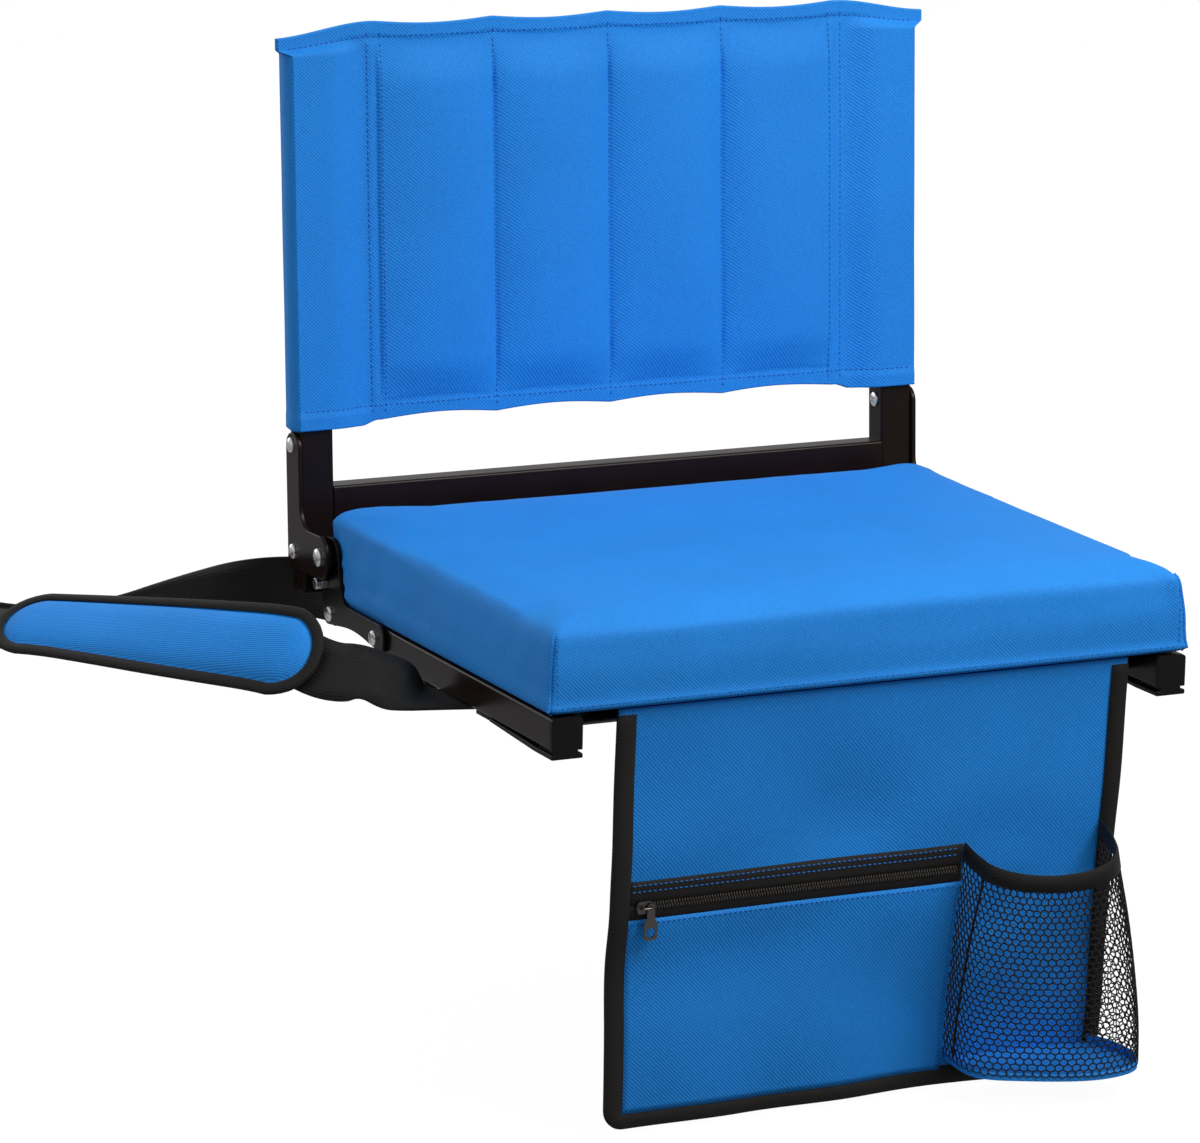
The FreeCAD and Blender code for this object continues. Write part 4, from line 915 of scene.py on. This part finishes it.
print("sleeve seams at", [round(x / mm) for x in seam_xs], "mm")

# %% [markdown]
# Two grids, the front and the rear cloth, are bridged to one shell and puffed with the seams pinned.
# Then the hems sag between the seams, the ends of the top hem droop, and the back leans.

# %% Back sleeve
work = bmesh.new()
for front in (True, False):
    fresh = bmesh.ops.create_grid(work, x_segments=98, y_segments=57, size=0.5)["verts"]
    size = Matrix.Diagonal((sleeve_width, sleeve_height, 1, 1))
    bmesh.ops.transform(work, matrix=turn_by(90, "X") @ size, verts=fresh)
    for vert in fresh:
        x, z = sleeve_place(vert.co.x, vert.co.z + (sleeve_low + sleeve_high) / 2)
        depth, wide = sleeve_form(x, z, front)
        vert.co = Vector((wide, depth, z))
bmesh.ops.bridge_loops(work, edges=[e for e in work.edges if e.is_boundary])
bmesh.ops.recalc_face_normals(work, faces=work.faces)


def sleeve_pin(point):
    wing = ease(abs(point.x), 158 * mm, 159 * mm)
    seam = min(abs(point.x - x) for x in seam_xs)
    bottom = 1 - ease(point.z, sleeve_low + 9 * mm, sleeve_low + 13 * mm)
    hem = max(ease(point.z, 368 * mm, 376 * mm), bottom)
    return max(wing, hem, 1.0 if seam < 1.2 * mm else 0.0)


work = puff(work, sleeve_pin, lambda point: 3 * mm)
for vert in work.verts:
    x, z = vert.co.x, vert.co.z
    sag = channel_arch(x) * (2.5 * mm)
    droop = ease(abs(x), 165 * mm, 232 * mm) * 8.5 * mm
    vert.co.z -= ease(z, 300 * mm, 384 * mm) * sag + ease(z, 364 * mm, 384 * mm) * droop
    lower = 1 - ease(z, sleeve_low, sleeve_low + 40 * mm)
    vert.co.z += lower * (1 - ease(abs(x), 165 * mm, 175 * mm)) * (3 * mm + sag)
    vert.co.y += 0.8 * mm * noise.noise(Vector((x * 26, z * 13, 5.0)))
bmesh.ops.transform(work, matrix=lean, verts=work.verts)
bmesh.ops.subdivide_edges(work, edges=work.edges, cuts=1, use_grid_fill=True, smooth=0.2)
sleeve = finish_piece(work, "back_sleeve_cover", blue_twill, "back", 80)
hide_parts("back_sleeve", "back_pads")
print("sleeve", len(sleeve.data.polygons), "faces")

# %% [markdown]
# The sleeve's seams: one stitched line down each channel seam, two beside each tube, one along the top
# hem and one along the bottom hem, on the front and on the rear.

# %% Back stitching
sleeve_tree = BVHTree.FromObject(sleeve, bpy.context.evaluated_depsgraph_get())
back_stitch = (3.6 * mm, 0.55 * mm)
stitched_xs = [x * mm for x in (-168, -159, -81, 0, 81, 159, 168)]
work = bmesh.new()
made = 0
for start_y, way in ((0.1, rearward), (0.5, -rearward)):
    for x in stitched_xs:
        low, high = sleeve_low + 6 * mm, sleeve_high - 6 * mm
        starts = spread(Vector((x, start_y, low)), Vector((x, start_y, high)), 90)
        made += stitch_line(work, cast_line(sleeve_tree, starts, way), *back_stitch)
    for z, reach, drop in ((sleeve_low + 11 * mm, 217 * mm, 0), (sleeve_high - 11 * mm, 222 * mm, 6 * mm)):
        starts = []
        for x in range(-110, 111):
            across = x / 110 * reach
            starts.append(Vector((across, start_y, z - drop * ease(abs(across), 165 * mm, 232 * mm))))
        made += stitch_line(work, cast_line(sleeve_tree, starts, way), *back_stitch)
finish_piece(work, "back_stitching", blue_thread, "back")
print("back stitches", made)

# %% [markdown]
# The flap hangs from a seam under the cushion's front and tilts back a little. All its pieces are first
# modelled flat and upright; one function then gives them the same soft ripple and tilt, so that they
# stay on each other. The panel itself is a grid cut to the flap's outline.

# %% Flap panel
flap_seam_z = 24.2 * mm
flap_y = -133 * mm
hang = tilted(4, Vector((0, flap_y, flap_seam_z)))
flap_left, flap_right, flap_height = -166 * mm, 175 * mm, 262 * mm
flap_bottom = flap_seam_z - flap_height
flap_slant, corner_r = 7 * mm, 12 * mm
right_low = flap_right - flap_slant
zip_z = -98 * mm


def on_flap(work):
    """Ripples and tilts pieces that were modelled flat on the upright flap."""
    for vert in work.verts:
        down = max(0.0, flap_seam_z - vert.co.z)
        ripple = 1.6 * math.sin(vert.co.x * 21 + 0.6) + 1.0 * math.sin(vert.co.x * 43 + down * 12 + 1.9)
        ripple += 6.5 * noise.noise(Vector((vert.co.x * 13, vert.co.z * 11, 2.2)))
        zip_holds = 0.9 * math.exp(-((vert.co.z - zip_z) / (24 * mm)) ** 2)
        vert.co.y += ripple * mm * ease(down, 0, 120 * mm) * (1 - zip_holds)
    bmesh.ops.transform(work, matrix=hang, verts=work.verts)


def flap_sheet(width_cells, height_cells, left, right, top, bottom, depth):
    """A flat upright grid at y = depth."""
    work = bmesh.new()
    bmesh.ops.create_grid(work, x_segments=width_cells, y_segments=height_cells, size=0.5)
    size = Matrix.Diagonal((right - left, top - bottom, 1, 1))
    place = Matrix.Translation(((left + right) / 2, depth, (top + bottom) / 2))
    bmesh.ops.transform(work, matrix=place @ turn_by(90, "X") @ size, verts=work.verts)
    return work


work = flap_sheet(86, 66, flap_left, flap_right, flap_seam_z + 0.6 * mm, flap_bottom, flap_y)
for vert in work.verts:
    down = (flap_seam_z - vert.co.z) / flap_height
    vert.co.x -= flap_slant * down * ease(vert.co.x, flap_left, flap_right)
    for side in (flap_left, right_low):
        corner = Vector((side + math.copysign(corner_r, -side), flap_bottom + corner_r))
        gap = Vector((vert.co.x, vert.co.z)) - corner
        if gap.x * side > 0 and gap.y < 0 and gap.length > corner_r:
            gap = gap.normalized() * corner_r
            vert.co.x, vert.co.z = corner.x + gap.x, corner.y + gap.y
on_flap(work)
flap = finish_piece(work, "flap_cloth", blue_twill, "flap", 60)
thicken(flap, 1.6 * mm)
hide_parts("flap_panel")
print("flap cloth", len(flap.data.polygons), "faces")

# %% [markdown]
# Binding is a tape folded over the raw edge and stitched through, so it shows as a black border on
# both faces. The flap's outline is drawn as a line of points, and a folded strip is swept along it. It is
# pressed flat where it starts under the cushion, so that the flap can swing up.

# %% Flap binding
def border_strip(outline, inward, width, half_depth, y):
    """A folded tape round an open outline in the XZ plane: rear hem, edge fold, front hem."""
    work = bmesh.new()
    fold = ((width, half_depth), (0.6 * mm, half_depth), (-0.5 * mm, 0.35 * half_depth),
            (-0.5 * mm, -0.35 * half_depth), (0.6 * mm, -half_depth), (width, -half_depth))
    rows = []
    for reach, out in fold:
        rows.append([(p.x + n.x * reach, y + out, p.y + n.y * reach) for p, n in zip(outline, inward)])
    skin(work, rows)
    bmesh.ops.recalc_face_normals(work, faces=work.faces)
    return work


def round_corner(x, start):
    """Adds a quarter turn round a bottom corner to the outline, from start degrees."""
    for i in range(9):
        angle = math.radians(start + 90 * i / 8)
        out = Vector((math.cos(angle), math.sin(angle)))
        outline.append(Vector((x, flap_bottom + corner_r)) + out * corner_r)
        inward.append(-out)


outline = [Vector((flap_left, flap_seam_z - (3 + i * 5) * mm)) for i in range(50)]
inward = [Vector((1, 0)) for point in outline]
round_corner(flap_left + corner_r, 180)
for i in range(1, 60):
    x = flap_left + corner_r + (right_low - flap_left - 2 * corner_r) * i / 60
    outline.append(Vector((x, flap_bottom)))
    inward.append(Vector((0, 1)))
round_corner(right_low - corner_r, 270)
for i in range(1, 51):
    z = flap_bottom + corner_r + (flap_height - corner_r - 3 * mm) * i / 50
    outline.append(Vector((flap_right - flap_slant * (flap_seam_z - z) / flap_height, z)))
    inward.append(Vector((-1, 0)))
work = border_strip(outline, inward, 11 * mm, 1.25 * mm, flap_y)
for vert in work.verts:
    pressed = 0.68 + 0.32 * ease(flap_seam_z - vert.co.z, 3 * mm, 14 * mm)
    vert.co.y = flap_y + (vert.co.y - flap_y) * pressed
on_flap(work)
flap_binding = finish_piece(work, "flap_binding_tape", black_twill, "flap", 50)
thicken(flap_binding, 0.6 * mm, 1)
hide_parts("flap_binding")
print("binding", round(running_lengths(outline)[-1], 3), "m")

# %% [markdown]
# The zip pocket: a black tape above and below the coil, and a blue panel sewn on below. The coil is a row
# of nylon loops, drawn at a pitch of 1.8 mm. Two rows of blue stitching hold the upper tape.

# %% Zip pocket
zip_left, zip_right = -155.4 * mm, 67 * mm
coil_z = flap_seam_z - 122.5 * mm
front_y = flap_y - 0.8 * mm
tape_top, tape_bottom = flap_seam_z - 107 * mm, flap_seam_z - 131 * mm
coil_pitch = 1.8 * mm


def flap_patch(name, left, right, top, bottom, proud, finish, node, slant=0.0):
    """A strip of cloth sewn on the flap's front."""
    columns = max(2, int((right - left) / (4 * mm)))
    rows = max(2, int((top - bottom) / (4 * mm)))
    work = flap_sheet(columns, rows, left, right, top, bottom, front_y - proud / 2)
    for vert in work.verts:
        vert.co.x -= slant * ease(vert.co.x, left, right) * (top - vert.co.z) / (top - bottom)
    on_flap(work)
    piece = finish_piece(work, name, finish, "flap", 60)
    thicken(piece, proud)
    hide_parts(node)
    return piece


upper_tape = flap_patch("zip_tape_upper", zip_left, zip_right, tape_top, coil_z, 0.9 * mm,
                        black_twill, "zip_upper_tape")
lower_tape = flap_patch("zip_tape_lower", zip_left, zip_right, coil_z, tape_bottom, 0.9 * mm,
                        black_twill, "zip_lower_tape")
pocket = flap_patch("zip_pocket_panel", zip_left, zip_right, tape_bottom, flap_bottom + 9 * mm, 1.2 * mm,
                    blue_twill, "pocket_panel", flap_slant)
work = bmesh.new()
coil_left, coil_right = zip_left + 4 * mm, zip_right - 4 * mm
steps = int((coil_right - coil_left) / coil_pitch)
loop_size = Matrix.Diagonal((0.6 * mm, 1.1 * mm, 1.5 * mm, 1))
for i in range(steps):
    for half in (-1, 1):
        x = coil_left + (i + 0.5 + 0.25 * half) * coil_pitch
        place = Matrix.Translation((x, front_y - 1.8 * mm, coil_z + half * 1.2 * mm))
        bmesh.ops.create_icosphere(work, subdivisions=1, radius=1, matrix=place @ loop_size)
on_flap(work)
# The loops carry the coil's painted grey highlight.
coil = finish_piece(work, "zip_coil_loops", coil_nylon_painted_highlight, "flap")
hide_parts("zip_coil")
print("coil loops", 2 * steps)

# %% [markdown]
# Stitch rows on the flap lie flat on the cloth, so they are laid on the flat pattern and then follow the
# same ripple and tilt as the rest.

# %% Flap stitching
flap_stitch = (3.4 * mm, 0.5 * mm)
on_tape, on_pocket = front_y - 1.0 * mm, front_y - 1.3 * mm
work = bmesh.new()
made = 0
lines = ((zip_right - 1 * mm, flap_seam_z - 109.5 * mm, on_tape),
         (zip_right - 1 * mm, flap_seam_z - 113.5 * mm, on_tape),
         (zip_right - 2 * mm, flap_seam_z - 133.5 * mm, on_pocket))
for right, z, y in lines:
    row = spread(Vector((zip_left + 1 * mm, y, z)), Vector((right, y, z)), 50)
    made += stitch_line(work, row, *flap_stitch)
x = zip_right - 2 * mm
pocket_side = [Vector((x, on_pocket, flap_seam_z - 134 * mm)),
               Vector((x - flap_slant, on_pocket, flap_bottom + 12 * mm))]
made += stitch_line(work, pocket_side, 3.4 * mm, 0.4 * mm)
on_flap(work)
flap_stitches = finish_piece(work, "flap_stitching", blue_thread, "flap")
print("flap stitches", made)

# %% [markdown]
# The slider and its pull are die-cast. Their CAD shapes are right, so merged copies get rounded edges.

# %% Slider and pull
dress("zip_slider", gunmetal, "slider", 0.3, 0.6)
dress("zip_pull", gunmetal, "pull", 0.25, 0.4)
print("zip slider and pull dressed")

# %% [markdown]
# The bottle pocket bulges out of the flap between two lines: the elastic rim, which sags, and the base,
# which is a little wider. Both are smooth splines that start and end on the flap. A function gives the
# point of the pocket's wall at any share round it and any height.

# %% Pocket lines
pouch_wall = front_y - 0.1 * mm
pouch_middle_x = 108 * mm
pouch_swell = 5 * mm
top_knots = ((69, 0, 4), (70, -12, 0), (76, -30, -5), (102, -44, -8), (132, -50, -5), (152, -44, 1),
             (161, -18, 6), (162, 0, 10))
base_knots = ((63, 0, 0), (61, -20, 0), (65, -42, 0), (102, -54, 0), (142, -62, 0), (172, -54, 0),
              (174, -22, 0), (160, 0, 0))


def pouch_line(knots, drop):
    """A smooth line round the pocket, drop millimetres below the flap's seam."""
    places = [Vector((x * mm, pouch_wall + y * mm, flap_seam_z + (z - drop) * mm)) for x, y, z in knots]
    return spline_points(places, 16)


rim_line = pouch_line(top_knots, 113)
base_line = pouch_line(base_knots, 246)


def along(line, share):
    """The point at that share of a polyline's length."""
    runs = [(b - a).length for a, b in zip(line, line[1:])]
    left = share * sum(runs)
    for start, end, run in zip(line, line[1:], runs):
        if left <= run:
            return start + (end - start) * (left / run)
        left -= run
    return line[-1].copy()


def pouch_outward(point):
    """The level way out of the pocket at a point of its wall."""
    return Vector((point.x - pouch_middle_x, point.y - pouch_wall + 10 * mm, 0)).normalized()


def on_pouch(share, height):
    """A point of the wall: share round the pocket, height 0 at the base and 1 at the rim."""
    low_point, top_point = along(base_line, share), along(rim_line, share)
    point = low_point + (top_point - low_point) * height
    swell = math.sin(math.pi * height) * pouch_swell * math.sin(math.pi * share)
    return point + pouch_outward(point) * swell


print("pocket rim", round(running_lengths(rim_line)[-1], 3), "m")

# %% [markdown]
# The pocket's wall is knitted hexagon net. One hexagon is spun into a row and two rows into a sheet, the
# Wireframe modifier turns its edges into yarn, and the flat sheet is bent round the pocket. The net's
# spare width is sewn into a pleat, which shows as a rib near its left edge.

# %% Net
def everything(work):
    return work.verts[:] + work.edges[:] + work.faces[:]


def only_verts(geometry):
    return [g for g in geometry if isinstance(g, bmesh.types.BMVert)]


hex_r, yarn_thickness = 3.4 * mm, 1.1 * mm
columns, rows = 38, 32
step_x, step_y = hex_r * math.sqrt(3), hex_r * 1.5
work = bmesh.new()
bmesh.ops.create_circle(work, cap_ends=True, segments=6, radius=hex_r)
bmesh.ops.spin(work, geom=everything(work), angle=0, steps=columns, axis=(0, 0, 1), cent=(0, 0, 0),
               dvec=(step_x, 0, 0), use_duplicate=True)
shifted = bmesh.ops.duplicate(work, geom=everything(work))["geom"]
bmesh.ops.translate(work, verts=only_verts(shifted), vec=(step_x / 2, step_y, 0))
bmesh.ops.spin(work, geom=everything(work), angle=0, steps=rows // 2 - 1, axis=(0, 0, 1), cent=(0, 0, 0),
               dvec=(0, 2 * step_y, 0), use_duplicate=True)
bmesh.ops.remove_doubles(work, verts=work.verts, dist=0.1 * mm)
spans = [(min(v.co[i] for v in work.verts), max(v.co[i] for v in work.verts)) for i in (0, 1)]
for vert in work.verts:
    share = (vert.co.x - spans[0][0]) / (spans[0][1] - spans[0][0])
    height = (vert.co.y - spans[1][0]) / (spans[1][1] - spans[1][0])
    slack = Vector((share * 40, height * 30, 0))
    share += 0.004 * noise.noise(slack)
    height += 0.006 * noise.noise(slack + Vector((0, 0, 9)))
    vert.co = on_pouch(share, 0.02 + 0.95 * height)
on_flap(work)
net = finish_piece(work, "bottle_net", net_yarn, "flap", 80)
yarn = net.modifiers.new("yarn", "WIREFRAME")
yarn.thickness = yarn_thickness
yarn.use_replace = True
yarn.use_even_offset = False
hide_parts("net_left", "net_front", "net_right")
heights = [0.04 + 0.93 * i / 30 for i in range(31)]
work = welt([on_pouch(0.07 + 0.07 * height, height) for height in heights], 0.8 * mm)
on_flap(work)
pleat = finish_piece(work, "bottle_net_pleat", net_yarn, "flap", 60)
print("net", len(net.data.polygons), "holes")

# %% [markdown]
# The rim is a folded elastic tape that sags between its two ends, and the base is a cloth panel with
# a short wall that the net is sewn to.

# %% Pocket rim and base
rim_fold = ((0.94, 1.0), (1.01, 1.1), (1.02, 0), (1.01, -1.1), (0.94, -1.0))
rows = []
for height, out in rim_fold:
    row = [on_pouch(i / 64, height) for i in range(65)]
    rows.append([point + pouch_outward(point) * out * mm for point in row])
work = bmesh.new()
skin(work, rows)
bmesh.ops.recalc_face_normals(work, faces=work.faces)
on_flap(work)
rim = finish_piece(work, "bottle_rim_tape", black_twill, "flap", 60)
thicken(rim, 0.7 * mm, -1)
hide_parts("pouch_rim")

work = bmesh.new()
lows = skin(work, [[on_pouch(i / 48, height) for i in range(49)] for height in (0.04, 0.0)])[1]
closing = work.edges.new((lows[0].verts[0], lows[-1].verts[1]))
bmesh.ops.contextual_create(work, geom=lows + [closing])
bmesh.ops.recalc_face_normals(work, faces=work.faces)
on_flap(work)
base = finish_piece(work, "bottle_base_cloth", blue_twill, "flap", 60)
thicken(base, 1.2 * mm, -1)
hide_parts("pouch_base")
print("pocket base", len(base.data.polygons), "faces")

# %% [markdown]
# The shoulder pad is held on the strap by two loops behind it. The pad and its binding are drawn flat and
# then laid along the strap's own line, a few millimetres out from its middle.

# %% Place on the strap
pad_length, pad_half, pad_out = 248 * mm, 30 * mm, 5.3 * mm
pad_centre = (strap_knots[11] + strap_knots[14]) / 2
pad_middle = strap_lengths[min(range(len(strap_line)), key=lambda i: (strap_line[i] - pad_centre).length)]


def strap_frame(length):
    """Place, way across and way out of the strap at that length."""
    for i in range(len(strap_line) - 1):
        if strap_lengths[i + 1] >= length or i == len(strap_line) - 2:
            share = (length - strap_lengths[i]) / (strap_lengths[i + 1] - strap_lengths[i])
            place = strap_line[i] + (strap_line[i + 1] - strap_line[i]) * share
            across = (strap_across[i] + (strap_across[i + 1] - strap_across[i]) * share).normalized()
            way = (strap_line[i + 1] - strap_line[i]).normalized()
            return place, across, way.cross(across).normalized()


def on_strap(work):
    """Lays a flat piece (x along, y across, z out) on the strap at the pad's place."""
    for vert in work.verts:
        place, across, out = strap_frame(pad_middle + vert.co.x)
        vert.co = place + across * vert.co.y + out * (vert.co.z + pad_out)


print("shoulder pad at", round(pad_middle, 3), "m along the strap")

# %% [markdown]
# The pad is a flat foam strip with rounded ends under the blue cloth. Its outline is stretched from
# a circle, inset in rings that rise towards the middle, and cut across so that it can bend.

# %% Shoulder pad cover
pad_rings = ((5.6, 0.0), (2.2, 2.2), (5, 2.2), (7, 1.4))
pad_cuts = 36


def pad_outline(half, length):
    """A flat face with round ends."""
    work = bmesh.new()
    bmesh.ops.create_circle(work, cap_ends=True, segments=36, radius=half)
    for vert in work.verts:
        vert.co.x += math.copysign(length / 2 - half, vert.co.x) if abs(vert.co.x) > 1e-6 else 0
    return work


work = pad_outline(pad_half - 1 * mm, pad_length - 2 * mm)
for depth, rise in pad_rings:
    middle_face = max(work.faces, key=lambda f: f.calc_area())
    bmesh.ops.inset_region(work, faces=[middle_face], thickness=depth * mm, use_even_offset=True,
                           use_boundary=True)
    for vert in middle_face.verts:
        vert.co.z += rise * mm
for i in range(1, pad_cuts):
    cut = -pad_length / 2 + pad_length * i / pad_cuts
    bmesh.ops.bisect_plane(work, geom=everything(work), plane_co=(cut, 0, 0), plane_no=(1, 0, 0))
rim_edges = [e for e in work.edges if e.is_boundary]
walls = bmesh.ops.extrude_edge_only(work, edges=rim_edges)["geom"]
bmesh.ops.translate(work, verts=only_verts(walls), vec=(0, 0, -2.0 * mm))
bmesh.ops.holes_fill(work, edges=[e for e in work.edges if e.is_boundary])
bmesh.ops.recalc_face_normals(work, faces=work.faces)
on_strap(work)
pad = finish_piece(work, "shoulder_pad_cover", blue_twill, "seat", 50)
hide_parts("shoulder_pad")
print("shoulder pad", len(pad.data.polygons), "faces")

# %% [markdown]
# The pad's edge is bound in black tape, folded round it like the flap's binding. With it the strap is
# complete, with the pad and its loops on it.

# %% Shoulder pad binding
work = pad_outline(pad_half, pad_length)
ring = [v.co.xy for v in work.verts]
work.free()
ring = ring + ring[:1]
outline = []
for start, end in zip(ring, ring[1:]):
    cells = max(1, int((end - start).length / (6 * mm)))
    outline += [start + (end - start) * (i / cells) for i in range(cells)]
inward = []
for i in range(len(outline)):
    way = (outline[(i + 1) % len(outline)] - outline[i - 1]).normalized()
    side = Vector((-way.y, way.x))
    inward.append(side if side.dot(-outline[i]) > 0 else -side)
outline.append(outline[0])
inward.append(inward[0])
work = border_strip(outline, inward, 6.4 * mm, 1.9 * mm, 0)
bmesh.ops.remove_doubles(work, verts=work.verts, dist=0.01 * mm)
for vert in work.verts:
    vert.co = Vector((vert.co.x, vert.co.z, -vert.co.y))
bmesh.ops.recalc_face_normals(work, faces=work.faces)
on_strap(work)
pad_binding = finish_piece(work, "shoulder_pad_binding_tape", black_twill, "seat", 60)
thicken(pad_binding, 0.7 * mm, -1)
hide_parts("shoulder_pad_binding")
keepers = dress("pad_keepers", black_twill, "seat", 0.5, 2)
print("pad binding", len(pad_binding.data.polygons), "faces")
